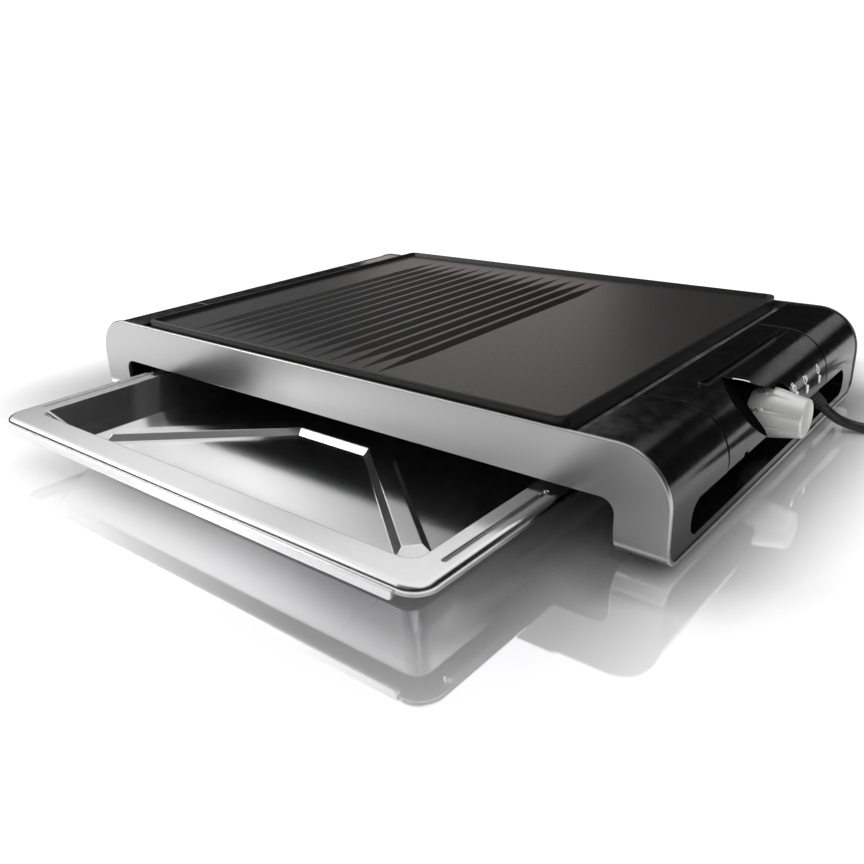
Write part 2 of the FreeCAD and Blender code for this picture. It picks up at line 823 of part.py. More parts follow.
def plate_groove(x):
    """One groove: it ramps up to a point at each end."""
    def section(y, share):
        drop = groove_drop * share
        half = groove_half * share
        flat = groove_flat_half * share
        top = plate_surface + 1.0
        lift = 1.0 * half / drop if drop > 0 else 0.0
        return Part.makePolygon([
            Vec(x - half - lift, y, top), Vec(x + half + lift, y, top), Vec(x + flat, y, plate_surface - drop),
            Vec(x - flat, y, plate_surface - drop), Vec(x - half - lift, y, top)])
    front = -groove_front
    rear = groove_rear
    share = 0.04
    middle = loft(section(front + groove_ramp, 1.0), section(rear - groove_ramp, 1.0))
    return fuse(loft(section(front, share), section(front + groove_ramp, 1.0)), middle,
                loft(section(rear - groove_ramp, 1.0), section(rear, share)))


def grill_plate():
    block = Part.Face(plate_outline(0.0, plate_foot)).extrude(Vec(0, 0, plate_top - plate_foot))
    block = rounded_top(block, plate_edge_round)
    well = loft(plate_outline(rim_width + rim_slope, plate_surface), plate_outline(rim_width, plate_top))
    lid = Part.Face(plate_outline(rim_width, plate_top)).extrude(Vec(0, 0, 2))
    under = Part.Face(plate_outline(skirt_width, plate_foot - 1)).extrude(Vec(0, 0, plate_under - plate_foot + 1))
    plate = block.cut([well.fuse(lid), under])
    first = last_groove_x - (grooves - 1) * groove_pitch
    cuts = [plate_groove(first + i * groove_pitch) for i in range(grooves)]
    spouts = [drain_form(x, spout_wall, plate_foot, plate_under + 1) for x in (-drain_x, drain_x)]
    holes = [drain_form(x, 0.0, plate_foot - 1, plate_top + 1) for x in (-drain_x, drain_x)]
    return plate.cut(cuts).fuse(spouts).cut(holes).removeSplitter()


def drain_form(x, grow, z0, z1):
    half = drain_half + grow
    radius = drain_radius + grow
    return prism(rectangle(x - half, x + half, drain_y - radius, drain_y + radius, radius - 0.05), in_xy(z0),
                 Vec(0, 0, z1 - z0))


# Frame, pan and element

def base_frame():
    outer = box(-frame_half_x, frame_half_x, -frame_half_y, frame_half_y, frame_bottom, frame_top)
    wall = frame_wall
    hollow = box(-frame_half_x + wall, frame_half_x - wall, -frame_half_y + wall, frame_half_y - wall,
                 frame_bottom + wall, frame_top - wall)
    opening = box(-frame_half_x + frame_ledge, frame_half_x - frame_ledge, -frame_half_y + frame_ledge,
                  frame_half_y - frame_ledge, frame_bottom - 1, frame_top + 1)
    y0, y1, z0 = dock_opening[:3]
    dock = prism(rectangle(y0, y1, z0, frame_window_top, frame_window_radius), in_yz(frame_half_x - 3), Vec(6, 0, 0))
    drains = [drain_form(x, spout_wall + 1.0, frame_top - 3, frame_top + 1) for x in (-drain_x, drain_x)]
    holes = [screw_hole(place) for place in frame_screw_places()]
    holes += [mirror_x(hole) for hole in holes]
    return outer.cut([hollow, opening, dock] + drains + holes).removeSplitter()


def pan_outline(inset, z, radius):
    half_x = frame_half_x - frame_wall - pan_gap - inset
    half_y = frame_half_y - frame_wall - pan_gap - inset
    return rounded_wire(rectangle(-half_x, half_x, -half_y, half_y, radius), in_xy(z))


def reflector_pan():
    bottom = frame_bottom + frame_wall
    outer = Part.Face(pan_outline(0.0, bottom, pan_corner)).extrude(Vec(0, 0, pan_top - bottom))
    inner = Part.Face(pan_outline(pan_sheet, bottom + pan_sheet, pan_corner - pan_sheet)).extrude(
        Vec(0, 0, pan_top - bottom))
    y = drain_y + pan_drain_inset
    drains = [cylinder(pan_drain_radius, Vec(x, y, bottom - 1), Vec(x, y, bottom + 2)) for x in (-drain_x, drain_x)]
    return outer.cut([inner] + drains).removeSplitter()


def element_path():
    """Half of the element's centre line, from its front terminal to the middle of the left side."""
    y0, y1, y2 = element_rows
    z = element_z
    first_turn = (y1 - y0) / 2
    second_turn = (y2 - y1) / 2
    diagonal = math.sqrt(0.5)
    outer_x = element_left_outer
    corner_x = outer_x + element_corner
    corner_y = y2 - element_corner
    return [
        Part.LineSegment(Vec(pin_root, -y0, z), Vec(element_left_inner, -y0, z)).toShape(),
        Part.Arc(Vec(element_left_inner, -y0, z), Vec(element_left_inner - first_turn, -(y0 + first_turn), z),
                 Vec(element_left_inner, -y1, z)).toShape(),
        Part.LineSegment(Vec(element_left_inner, -y1, z), Vec(element_right_turn, -y1, z)).toShape(),
        Part.Arc(Vec(element_right_turn, -y1, z), Vec(element_right_turn + second_turn, -(y1 + second_turn), z),
                 Vec(element_right_turn, -y2, z)).toShape(),
        Part.LineSegment(Vec(element_right_turn, -y2, z), Vec(corner_x, -y2, z)).toShape(),
        Part.Arc(Vec(corner_x, -y2, z),
                 Vec(corner_x - element_corner * diagonal, -corner_y - element_corner * diagonal, z),
                 Vec(outer_x, -corner_y, z)).toShape(),
        Part.LineSegment(Vec(outer_x, -corner_y, z), Vec(outer_x, 0, z)).toShape()]


def heating_element():
    path = Part.Wire(element_path())
    ring = Part.Wire([Part.makeCircle(element_radius, Vec(pin_root, -element_rows[0], element_z), Vec(1, 0, 0))])
    half = path.makePipeShell([ring], True, False)
    return fuse(half, mirror_y(half))


def element_brackets():
    """Three upright strips on the pan, with a saddle for each run of the element."""
    strips = []
    bottom = frame_bottom + frame_wall + pan_sheet
    reach = element_radius
    half_y = element_rows[-1] + bracket_margin
    for x in bracket_places:
        strip = box(x - bracket_sheet / 2, x + bracket_sheet / 2, -half_y, half_y, bottom, element_z + 2)
        saddles = []
        for row in element_rows:
            for y in (-row, row):
                saddle = [(y - reach, element_z - reach, reach - 0.01), (y + reach, element_z - reach, reach - 0.01),
                          (y + reach, element_z + 4), (y - reach, element_z + 4)]
                saddles.append(prism(saddle, in_yz(x - 2), Vec(4, 0, 0)))
        strips.append(strip.cut(saddles))
    return group(*strips)


def terminal_block():
    """Ceramic block that holds the element's ends and contact pins in the frame's window."""
    y0, y1, z0 = dock_opening[:3]
    inner_wall = frame_half_x - frame_wall
    bottom = z0 + block_gap
    body = box(block_in, inner_wall, y0 - 3, y1 + 3, bottom, frame_top - frame_wall - base_gap)
    boss = box(inner_wall - 1, frame_half_x, y0 + block_gap, y1 - block_gap, bottom, frame_window_top - block_gap)
    holes = [cylinder(element_radius, Vec(block_in - 1, y, element_z), Vec(pin_root, y, element_z))
             for y in pin_places[:2]]
    holes += [cylinder(pin_radius, Vec(pin_root - 1, y, element_z), Vec(frame_half_x + 1, y, element_z))
              for y in pin_places]
    holes.append(cylinder(probe_radius + block_gap, Vec(block_in - 1, 0, probe_z), Vec(frame_half_x + 1, 0, probe_z)))
    return fuse(body, boss).cut(holes)


def terminal_pins():
    pins = []
    for y in pin_places:
        tip = Vec(pin_end - 1.5, y, element_z)
        rod = cylinder(pin_radius, Vec(pin_root, y, element_z), tip)
        nose = cone(pin_radius, pin_radius - 0.9, tip, Vec(pin_end, y, element_z))
        pins.append(rod.fuse(nose).removeSplitter())
    return group(*pins)


# Drip tray

def tray_outline(half, front_in, rear_in, radius, z):
    front = tray_front + front_in
    rear = tray_front + tray_length - rear_in
    return rounded_wire(rectangle(-half, half, front, rear, radius), in_xy(z))


def tray_bowl(grow, top):
    """The tray's hollow, or with grow its outside: steps in from the rim to the floor."""
    lower = tray_floor_z - grow
    side = tray_well_half - tray_step_half
    deep = tray_well_half - tray_floor_half
    return loft(
        tray_outline(tray_floor_half + grow, tray_well_front + deep - grow, tray_well_rear + deep - grow,
                     tray_well_corner + grow, lower),
        tray_outline(tray_step_half + grow, tray_well_front + side - grow, tray_well_rear + side - grow,
                     tray_well_corner + grow, tray_step_z - grow),
        tray_outline(tray_well_half + grow, tray_well_front - grow, tray_well_rear - grow,
                     tray_well_corner + grow, top))


def emboss_solid(shrink, drop):
    """The raised pattern of the floor: a middle plateau with an arm to each corner."""
    base_z = tray_floor_z - drop
    centre_y = tray_front + emboss_centre_y
    top_z = base_z + emboss_height
    half_x = emboss_centre_half_x - shrink
    half_y = emboss_centre_half_y - shrink
    slope = emboss_slope
    plateau = loft(
        rounded_wire(rectangle(-half_x, half_x, centre_y - half_y, centre_y + half_y, 4.0), in_xy(base_z)),
        rounded_wire(rectangle(-half_x + slope, half_x - slope, centre_y - half_y + slope,
                               centre_y + half_y - slope, 4.0), in_xy(top_z)))
    pieces = [plateau]
    for sign_x in (-1, 1):
        for end_y in (tray_front + emboss_arm_front, tray_front + tray_length - emboss_arm_rear):
            sign_y = 1 if end_y > centre_y else -1
            start = Vec(sign_x * (emboss_centre_half_x - 12), centre_y + sign_y * (emboss_centre_half_y - 12), base_z)
            end = Vec(sign_x * (emboss_arm_x - shrink), end_y - sign_y * shrink, base_z)
            pieces.append(ridge(start, end, emboss_arm_half - shrink))
    return fuse(*pieces)


def ridge(start, end, half):
    """A straight raised bar with sloped sides and end."""
    along = end.sub(start)
    along.normalize()
    side = Vec(-along.y, along.x, 0)
    up = Vec(0, 0, emboss_height)

    def ring(width, back, lift):
        tail = end.sub(along * back).add(lift)
        head = start.add(lift)
        points = [head.add(side * width), tail.add(side * width), tail.sub(side * width), head.sub(side * width)]
        return Part.makePolygon(points + [points[0]])
    return loft(ring(half, 0.0, Vec(0, 0, 0)), ring(half - emboss_slope, emboss_slope, up))


def tray_bead(grow, z0, z1):
    """Pressed groove along the right flange."""
    front = tray_front + bead_front
    half = bead_half + grow
    return prism(rectangle(bead_x - half, bead_x + half, front - grow, front + bead_length + grow, half - 0.05),
                 in_xy(z0), Vec(0, 0, z1 - z0))


def tray_flange(inset, z0, z1):
    """The tray's rim as a solid plate, drawn in by inset."""
    front = tray_front + tray_front_step + inset
    rear = tray_front + tray_length - inset
    half = tray_half - inset
    outline = [
        (-half, front, tray_corner - inset), (half, front, tray_corner - inset),
        (half, rear, tray_rear_corner - inset), (-half, rear, tray_rear_corner - inset)]
    return prism(outline, in_xy(z0), Vec(0, 0, z1 - z0))


def drip_tray():
    flange = rounded_top(tray_flange(0.0, tray_skirt_bottom, tray_top), tray_edge_round)
    under = rounded_top(tray_flange(tray_sheet, tray_skirt_bottom - 1, tray_top - tray_sheet),
                        tray_edge_round - tray_sheet)
    lip_top = tray_top - tray_edge_round
    lip = prism([(-tray_lip_half, tray_lip_bottom, 3.0), (tray_lip_half, tray_lip_bottom, 3.0),
                 (tray_lip_half, lip_top), (-tray_lip_half, lip_top)],
                in_xz(tray_front), Vec(0, tray_front_step + tray_sheet, 0))
    bead = tray_bead(tray_sheet, tray_top - bead_depth - tray_sheet, tray_top - tray_sheet / 2)
    furrow = tray_bead(0.0, tray_top - bead_depth, tray_top + 1)
    shell = flange.cut(under).fuse([lip, tray_bowl(tray_sheet, tray_top - 0.3), bead, mirror_x(bead)])
    shell = shell.cut([tray_bowl(0.0, tray_top + 0.5), furrow, mirror_x(furrow)])
    shell = shell.fuse(emboss_solid(0.0, 0.05)).cut(emboss_solid(tray_sheet, tray_sheet + 0.05))
    return shell.removeSplitter()


def tray_rail():
    """Right rail: a channel that holds the tray's edge from below and above."""
    web_x = housing_inner_x - fit_gap
    ledge_top = tray_skirt_bottom - fit_gap
    roof = tray_top + rail_headroom
    inner_x = web_x - rail_sheet - rail_ledge
    web = box(web_x - rail_sheet, web_x, rail_front, rail_rear, ledge_top - 6, roof + rail_sheet)
    ledge = box(inner_x, web_x, rail_front, rail_rear, ledge_top - rail_sheet, ledge_top)
    lid = box(inner_x, web_x, rail_front, rail_rear, roof, roof + rail_sheet)
    stop = box(inner_x, web_x, tray_stop, rail_rear, ledge_top - rail_sheet, roof + rail_sheet)
    return fuse(web, ledge, lid, stop).cut([screw_hole(place) for place in rail_screw_places()])


# Feet, screws

def plate_screw_places():
    """Head's seat and shank direction for each screw of the right bottom plate."""
    return [(Vec(boss_x, y, plate_screw_z), Vec(0, 0, 1), screw_length) for y in boss_places]


def rail_screw_places():
    x = housing_inner_x - fit_gap - rail_sheet
    z = (tray_skirt_bottom + tray_top) / 2
    return [(Vec(x, y, z), Vec(1, 0, 0), rail_screw_length) for y in rail_screw_y]


def frame_screw_places():
    x = housing_inner_x + housing_wall
    length = x - frame_half_x + frame_wall
    return [(Vec(x, y, frame_screw_z), Vec(-1, 0, 0), length) for y in frame_screw_y]


def screw_hole(place):
    seat, direction, length = place
    return cylinder(screw_radius, seat.sub(direction * 1.0), seat.add(direction * length))


def screws(places):
    """Pan-head screws at the places and at their mirror images on the left."""
    solids = []
    for seat, direction, length in places:
        head = cylinder(screw_head_radius, seat.sub(direction * screw_head_height), seat)
        solids.append(head.fuse(cylinder(screw_radius, seat, seat.add(direction * length))).removeSplitter())
    return group(*(solids + [mirror_x(solid) for solid in solids]))


def rubber_feet():
    feet = []
    for x in (-foot_x, foot_x):
        for y in (-foot_y, foot_y):
            low = cone(foot_radius - foot_bevel, foot_radius, Vec(x, y, 0), Vec(x, y, foot_bevel))
            pad = cylinder(foot_radius, Vec(x, y, foot_bevel), Vec(x, y, floor_gap))
            stem = cylinder(foot_stem_radius, Vec(x, y, floor_gap), Vec(x, y, plate_screw_z))
            feet.append(fuse(low, pad, stem))
    return group(*feet)


# Cord

def lead_path(points):
    """Straight runs joined by the largest tangent arcs that the runs allow."""
    route = [Vec(*point) for point in points]
    edges = []
    radii = []
    last = route[0]
    for i in range(1, len(route) - 1):
        back = route[i - 1].sub(route[i])
        ahead = route[i + 1].sub(route[i])
        shorter = min(back.Length, ahead.Length)
        back.normalize()
        ahead.normalize()
        turn = math.pi - back.getAngle(ahead)
        radius = 0.45 * shorter / math.tan(turn / 2)
        reach = 0.45 * shorter
        start = route[i].add(back * reach)
        end = route[i].add(ahead * reach)
        inward = back.add(ahead)
        inward.normalize()
        middle = route[i].add(inward * (radius / math.cos(turn / 2) - radius))
        edges.append(Part.LineSegment(last, start).toShape())
        edges.append(Part.Arc(start, middle, end).toShape())
        radii.append(round(radius, 1))
        last = end
    edges.append(Part.LineSegment(last, route[-1]).toShape())
    print("cord radii", radii)
    return Part.Wire(edges)


def cord_lead():
    path = lead_path(cord_points)
    start = Vec(*cord_points[0])
    heading = Vec(*cord_points[1]).sub(start)
    ring = Part.Wire([Part.makeCircle(cord_radius, start, heading)])
    tube = path.makePipeShell([ring], True, False)
    print("cord_lead length", round(path.Length, 1), "volume ratio",
          round(tube.Volume / (path.Length * math.pi * cord_radius ** 2), 4))
    return tube


def corner_arc(start, corner, end):
    """The arc that is tangent to both legs of a corner at equal distances from it."""
    back = start.sub(corner)
    ahead = end.sub(corner)
    reach = back.Length
    back.normalize()
    ahead.normalize()
    turn = math.pi - back.getAngle(ahead)
    radius = reach / math.tan(turn / 2)
    inward = back.add(ahead)
    inward.normalize()
    return Part.Arc(start, corner.add(inward * (radius / math.cos(turn / 2) - radius)), end).toShape()


def biarc(start, heading, end, end_heading):
    """Two tangent arcs from start to end with the given headings."""
    gap = end.sub(start)
    total = heading.add(end_heading)
    a = total.dot(total) - 4
    b = -2 * gap.dot(total)
    c = gap.dot(gap)
    if abs(a) < 1e-9:
        reach = -c / b
    else:
        reach = (-b - math.sqrt(b * b - 4 * a * c)) / (2 * a)
    first = start.add(heading * reach)
    second = end.sub(end_heading * reach)
    middle = (first.add(second)) * 0.5
    return [corner_arc(start, first, middle), corner_arc(middle, second, end)]


def coil_radii():
    """Radius at the end of each half turn: in, a half turn that climbs, and out again."""
    inward = [coil_radius - k * coil_pitch / 2 for k in range(coil_half_turns)]
    inner = coil_radius - coil_half_turns * coil_pitch / 2 - coil_inner_step
    return inward + [inner, inner] + inward[::-1]


def coil_path():
    edges = []
    start = Vec(coil_x, coil_y - coil_radius, coil_base)
    edges.append(Part.LineSegment(start.sub(Vec(cord_straight, 0, 0)), start).toShape())
    radii = coil_radii()
    side = 1
    for k in range(len(radii) - 1):
        z0 = coil_base if k <= coil_half_turns else coil_base + coil_pitch
        z1 = coil_base if k + 1 <= coil_half_turns else coil_base + coil_pitch
        here = Vec(coil_x, coil_y - side * radii[k], z0)
        there = Vec(coil_x, coil_y + side * radii[k + 1], z1)
        edges += biarc(here, Vec(side, 0, 0), there, Vec(-side, 0, 0))
        side = -side
    last = Vec(coil_x, coil_y + coil_radius, coil_base + coil_pitch)
    leave = last.sub(Vec(cord_straight, 0, 0))
    arrive = Vec(plug_x + cord_straight, coil_y + coil_radius, plug_radius)
    edges.append(Part.LineSegment(last, leave).toShape())
    edges += biarc(leave, Vec(-1, 0, 0), arrive, Vec(-1, 0, 0))
    edges.append(Part.LineSegment(arrive, arrive.sub(Vec(cord_straight, 0, 0))).toShape())
    return Part.Wire(edges)


def least_gap(path):
    """Least distance between two stretches of the path that are more than a third of a turn apart."""
    count = 900
    points = path.discretize(count)
    step = path.Length / (count - 1)
    apart = int(2.1 * (coil_radius - coil_half_turns * coil_pitch / 2) / step)
    least = min(points[i].distanceToPoint(points[j])
                for i in range(count) for j in range(i + apart, count))
    return least - 2 * cord_radius


def cord_coil():
    path = coil_path()
    start = Vec(coil_x - cord_straight, coil_y - coil_radius, coil_base)
    ring = Part.Wire([Part.makeCircle(cord_radius, start, Vec(1, 0, 0))])
    tube = path.makePipeShell([ring], True, False)
    print("cord_coil length", round(path.Length, 1), "least gap", round(least_gap(path), 2), "volume ratio",
          round(tube.Volume / (path.Length * math.pi * cord_radius ** 2), 4))
    return tube


def cord_tie():
    """Flat band round all turns on the coil's far side."""
    inner_r = coil_radius - (coil_half_turns - 0.5) * coil_pitch / 2 - coil_inner_step / 2 - cord_radius
    outer_r = coil_radius - coil_pitch / 4 + cord_radius
    x0 = coil_x + inner_r - 2 * tie_gap
    x1 = coil_x + outer_r + tie_gap
    z0 = tie_sheet - 0.05
    z1 = coil_base + coil_pitch + cord_radius + 0.1
    y = coil_y - tie_width / 2
    outer = prism(rectangle(x0 - tie_sheet, x1 + tie_sheet, z0 - tie_sheet + 0.05, z1 + tie_sheet, 3.0),
                  in_xz(y), Vec(0, tie_width, 0))
    inner = prism(rectangle(x0, x1, z0, z1, 2.0), in_xz(y - 1), Vec(0, tie_width + 2, 0))
    return outer.cut(inner)


def plug_turned(points):
    """A solid of revolution about the plug's axis from points (distance from the cord, radius)."""
    y = coil_y + coil_radius
    ring = [Vec(plug_x - a, y, plug_radius + r) for a, r in points]
    face = Part.Face(Part.makePolygon(ring + [ring[0]]))
    return face.revolve(Vec(0, y, plug_radius), Vec(1, 0, 0), 360)


def plug_body():
    tail = plug_tail
    end = plug_tail + plug_length
    body = plug_turned([(0, 0), (0, 5.2), (tail, 7.4), (tail + 3, 12.5), (tail + 8, plug_radius - 3.0),
                        (tail + 13, plug_radius - 0.2), (end, plug_radius - 0.2), (end, 0)])
    y = coil_y + coil_radius
    notches = [box(plug_x - end - 1, plug_x - end + 14, y - 3, y + 3, z - 2, z + 2) for z in (0.5, 2 * plug_radius - 0.5)]
    pins = [cylinder(plug_pin_radius, Vec(plug_x - end - 1, pin_y, plug_radius), Vec(plug_x - end + 6, pin_y, plug_radius))
            for pin_y in (y - plug_pin_spread, y + plug_pin_spread)]
    return body.cut(notches + pins)


def plug_pins():
    end = plug_x - plug_tail - plug_length
    y = coil_y + coil_radius
    pins = []
    for pin_y in (y - plug_pin_spread, y + plug_pin_spread):
        tip = Vec(end - plug_pin_length + 1.5, pin_y, plug_radius)
        rod = cylinder(plug_pin_radius, Vec(end + 6, pin_y, plug_radius), tip)
        nose = cone(plug_pin_radius, plug_pin_radius - 1.2, tip, tip.sub(Vec(1.5, 0, 0)))
        pins.append(rod.fuse(nose).removeSplitter())
    return group(*pins)


def strain_relief():
    seat = unit_bottom + base_sheet
    grommet = cylinder(relief_start_radius, relief_start, Vec(relief_start.x, relief_start.y, seat))
    flange = cylinder(relief_start_radius + relief_flange, Vec(relief_start.x, relief_start.y, seat),
                      Vec(relief_start.x, relief_start.y, seat + relief_flange_height))
    boot = cone(relief_start_radius, relief_end_radius, relief_start, relief_end)
    ball = Part.makeSphere(relief_start_radius, relief_start)
    return fuse(grommet, flange, boot, ball)


os.makedirs("parts", exist_ok=True)
housing = end_housing()
plate = bottom_plate()
trim = bottom_trim()
rail = tray_rail()
save("front_fascia", front_sheet())
save("rear_fascia", rear_sheet())
save("right_bottom_trim", trim)
save("left_bottom_trim", mirror_x(trim))
save("right_end_housing", housing)
save("left_end_housing", mirror_x(housing))
save("left_center_cover", blank_cover())
save("right_bottom_plate", plate)
save("left_bottom_plate", mirror_x(plate))
save("base_frame", base_frame())
save("reflector_pan", reflector_pan())
save("heating_element", heating_element())
save("element_brackets", element_brackets())
save("terminal_block", terminal_block())
save("terminal_pins", terminal_pins())
save("right_tray_rail", rail)
save("left_tray_rail", mirror_x(rail))
save("rubber_feet", rubber_feet())
save("grill_plate", grill_plate())
save("drip_tray", drip_tray())
save("control_cover", control_cover())
save("control_base", control_base())
save("thermostat_body", thermostat_body())
save("thermostat_probe", thermostat_probe())
save("contact_sleeves", contact_sleeves())
save("indicator_lenses", indicator_lenses())
save("lamp_board", lamp_board())
save("indicator_lamps", indicator_lamps())
save("strain_relief", strain_relief())
save("cord_lead", cord_lead())
save("cord_coil", cord_coil())
save("cord_tie", cord_tie())
save("plug_body", plug_body())
save("plug_pins", plug_pins())
save("plate_screws", screws(plate_screw_places()))
save("rail_screws", screws(rail_screw_places()))
save("frame_screws", screws(frame_screw_places()))
save("control_knob", control_knob())
save("knob_shaft", knob_shaft())
save("knob_clip", knob_clip())
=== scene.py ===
import json
import logging
import math
from dataclasses import dataclass
from enum import Enum
from functools import reduce

import bmesh
import bpy
from mathutils import Matrix, Vector
from mathutils.bvhtree import BVHTree


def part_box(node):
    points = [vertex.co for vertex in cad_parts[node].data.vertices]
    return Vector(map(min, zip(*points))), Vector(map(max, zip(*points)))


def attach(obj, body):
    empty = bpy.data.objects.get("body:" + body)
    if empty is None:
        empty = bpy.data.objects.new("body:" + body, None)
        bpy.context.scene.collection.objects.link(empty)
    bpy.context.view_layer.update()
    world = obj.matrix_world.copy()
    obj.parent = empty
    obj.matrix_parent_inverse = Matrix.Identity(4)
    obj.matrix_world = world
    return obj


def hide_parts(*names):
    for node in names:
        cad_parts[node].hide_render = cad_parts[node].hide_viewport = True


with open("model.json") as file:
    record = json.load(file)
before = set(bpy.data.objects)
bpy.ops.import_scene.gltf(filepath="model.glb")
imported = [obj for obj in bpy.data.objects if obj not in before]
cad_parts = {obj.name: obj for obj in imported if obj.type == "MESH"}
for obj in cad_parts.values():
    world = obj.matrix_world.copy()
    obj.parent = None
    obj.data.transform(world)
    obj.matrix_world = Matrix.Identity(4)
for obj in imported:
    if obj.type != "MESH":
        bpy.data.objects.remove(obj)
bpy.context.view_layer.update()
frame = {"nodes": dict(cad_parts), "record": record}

log = logging.getLogger("table_grill")

Colour = tuple[float, float, float]
Point = tuple[float, float, float]
Flat = tuple[float, float]
Socket = bpy.types.NodeSocket
Ring = list[bmesh.types.BMVert]
Spot = tuple[Vector, Vector]

# The studio and the finishes are in metres, and the grill's own pieces in millimetres.
MM = 0.001
KNOB_HEIGHT = 41.5


class Body(Enum):
    """The moving groups that the scene's own pieces ride on."""

    UNIT = "control_unit"
    KNOB = "control_knob"


class Nodes:
    """Writes nodes into one tree."""

    def __init__(self, tree: bpy.types.NodeTree) -> None:
        """Work in that tree."""
        self.tree = tree

    def feed(self, socket: Socket, value: object) -> None:
        """Link or set an input.

        Args:
            socket: the input.
            value: an output to link it to, or what it is set to; a colour has three parts.
        """
        if isinstance(value, bpy.types.NodeSocket):
            self.tree.links.new(value, socket)
        elif socket.type == "RGBA":
            socket.default_value = (*value, 1.0)
        else:
            socket.default_value = value

    def node(self, kind: str, **values: object) -> bpy.types.Node:
        """Add a node.

        Args:
            kind: its type.
            values: its settings in lower case, then its inputs, with underscores for spaces.

        Returns:
            The node.
        """
        made = self.tree.nodes.new(kind)
        for name, value in values.items():
            if name[0].islower():
                setattr(made, name, value)
            else:
                self.feed(made.inputs[name.replace("_", " ")], value)
        return made

    def apply(self, operation: str, *values: Socket | float) -> Socket:
        """Work out a value.

        Args:
            operation: the Math node's operation.
            values: what it works on.

        Returns:
            The result.
        """
        made = self.node("ShaderNodeMath", operation=operation)
        for socket, value in zip(made.inputs, values):
            self.feed(socket, value)
        return made.outputs[0]

    def product(self, *factors: Socket | float) -> Socket:
        """All factors multiplied."""
        return reduce(lambda total, factor: self.apply("MULTIPLY", total, factor), factors)

    def reach(self, across: Socket, up: Socket) -> Socket:
        """The length of a flat vector."""
        squares = self.apply("ADD", self.apply("POWER", across, 2.0), self.apply("POWER", up, 2.0))
        return self.apply("SQRT", squares)

    def ramp(self, value: Socket, start: float, end: float, low: float = 0.0, high: float = 1.0,
             way: str = "SMOOTHSTEP") -> Socket:
        """Map a value and hold it past both ends.

        Args:
            value: what is mapped.
            start: the value that gives low.
            end: the value that gives high.
            low: the result at start.
            high: the result at end.
            way: how it gets from one to the other.

        Returns:
            The mapped value.
        """
        made = self.node("ShaderNodeMapRange", interpolation_type=way, Value=value, From_Min=start,
                         From_Max=end, To_Min=low, To_Max=high)
        return made.outputs["Result"]

    def split(self, vector: Socket) -> list[Socket]:
        """The three parts of a vector."""
        return list(self.node("ShaderNodeSeparateXYZ", Vector=vector).outputs)


@dataclass(frozen=True)
class Grain:
    """A pattern on a piece's own coordinates, scale waves or cells in one metre, full from low to high."""

    scale: float
    detail: float = 3.0
    stretch: Point = (1.0, 1.0, 1.0)
    low: float = 0.3
    high: float = 0.7
    cells: bool = False


@dataclass(frozen=True)
class Relief:
    """How high a grain stands, in metres, and how strongly that shows."""

    grain: Grain
    metres: float
    strength: float


class Paint(Nodes):
    """Writes one material round its Principled shader."""

    def __init__(self, name: str, bevel: float = 0.0) -> None:
        """Start a material.

        Args:
            name: the material's name.
            bevel: radius by which edges look rounded, or 0 for none.
        """
        self.material = bpy.data.materials.new(name)
        self.material.use_nodes = True
        super().__init__(self.material.node_tree)
        self.shader = self.tree.nodes["Principled BSDF"]
        self.place = self.node("ShaderNodeTexCoord").outputs["Object"]
        self.normal: Socket | None = None
        if bevel > 0:
            self.normal = self.node("ShaderNodeBevel", samples=4, Radius=bevel).outputs["Normal"]

    def set(self, **values: Socket | float | Colour) -> None:
        """Link or set the shader's inputs, named with underscores for spaces."""
        for name, value in values.items():
            self.feed(self.shader.inputs[name.replace("_", " ")], value)

    def pattern(self, grain: Grain) -> Socket:
        """Draw a grain.

        Args:
            grain: the grain.

        Returns:
            Its plain value.
        """
        place = self.place
        if grain.stretch != Grain.stretch:
            place = self.node("ShaderNodeMapping", Vector=place, Scale=grain.stretch).outputs["Vector"]
        if grain.cells:
            return self.node("ShaderNodeTexVoronoi", Vector=place, Scale=grain.scale).outputs["Distance"]
        noise = self.node("ShaderNodeTexNoise", Vector=place, Scale=grain.scale, Detail=grain.detail)
        return noise.outputs["Fac"]

    def between(self, grain: Grain, low: float | Colour, high: float | Colour) -> Socket | float | Colour:
        """Let a grain move a value or colour.

        Args:
            grain: the grain.
            low: what its low end gives.
            high: what its high end gives.

        Returns:
            The varied value or colour, or plain low where both ends are the same.
        """
        if low == high:
            return low
        if not isinstance(low, tuple):
            return self.ramp(self.pattern(grain), grain.low, grain.high, low, high, "LINEAR")
        share = self.ramp(self.pattern(grain), grain.low, grain.high, way="LINEAR")
        return self.node("ShaderNodeMix", data_type="RGBA", Factor=share, A=low, B=high).outputs["Result"]

    def raise_relief(self, relief: Relief) -> None:
        """Add a relief on top of what is there.

        Args:
            relief: the relief.
        """
        made = self.node("ShaderNodeBump", Height=self.pattern(relief.grain), Distance=relief.metres,
                         Strength=relief.strength)
        if self.normal is not None:
            self.feed(made.inputs["Normal"], self.normal)
        self.normal = made.outputs["Normal"]

    def done(self) -> bpy.types.Material:
        """Put the relief in place.

        Returns:
            The material.
        """
        if self.normal is not None:
            self.set(Normal=self.normal)
        return self.material


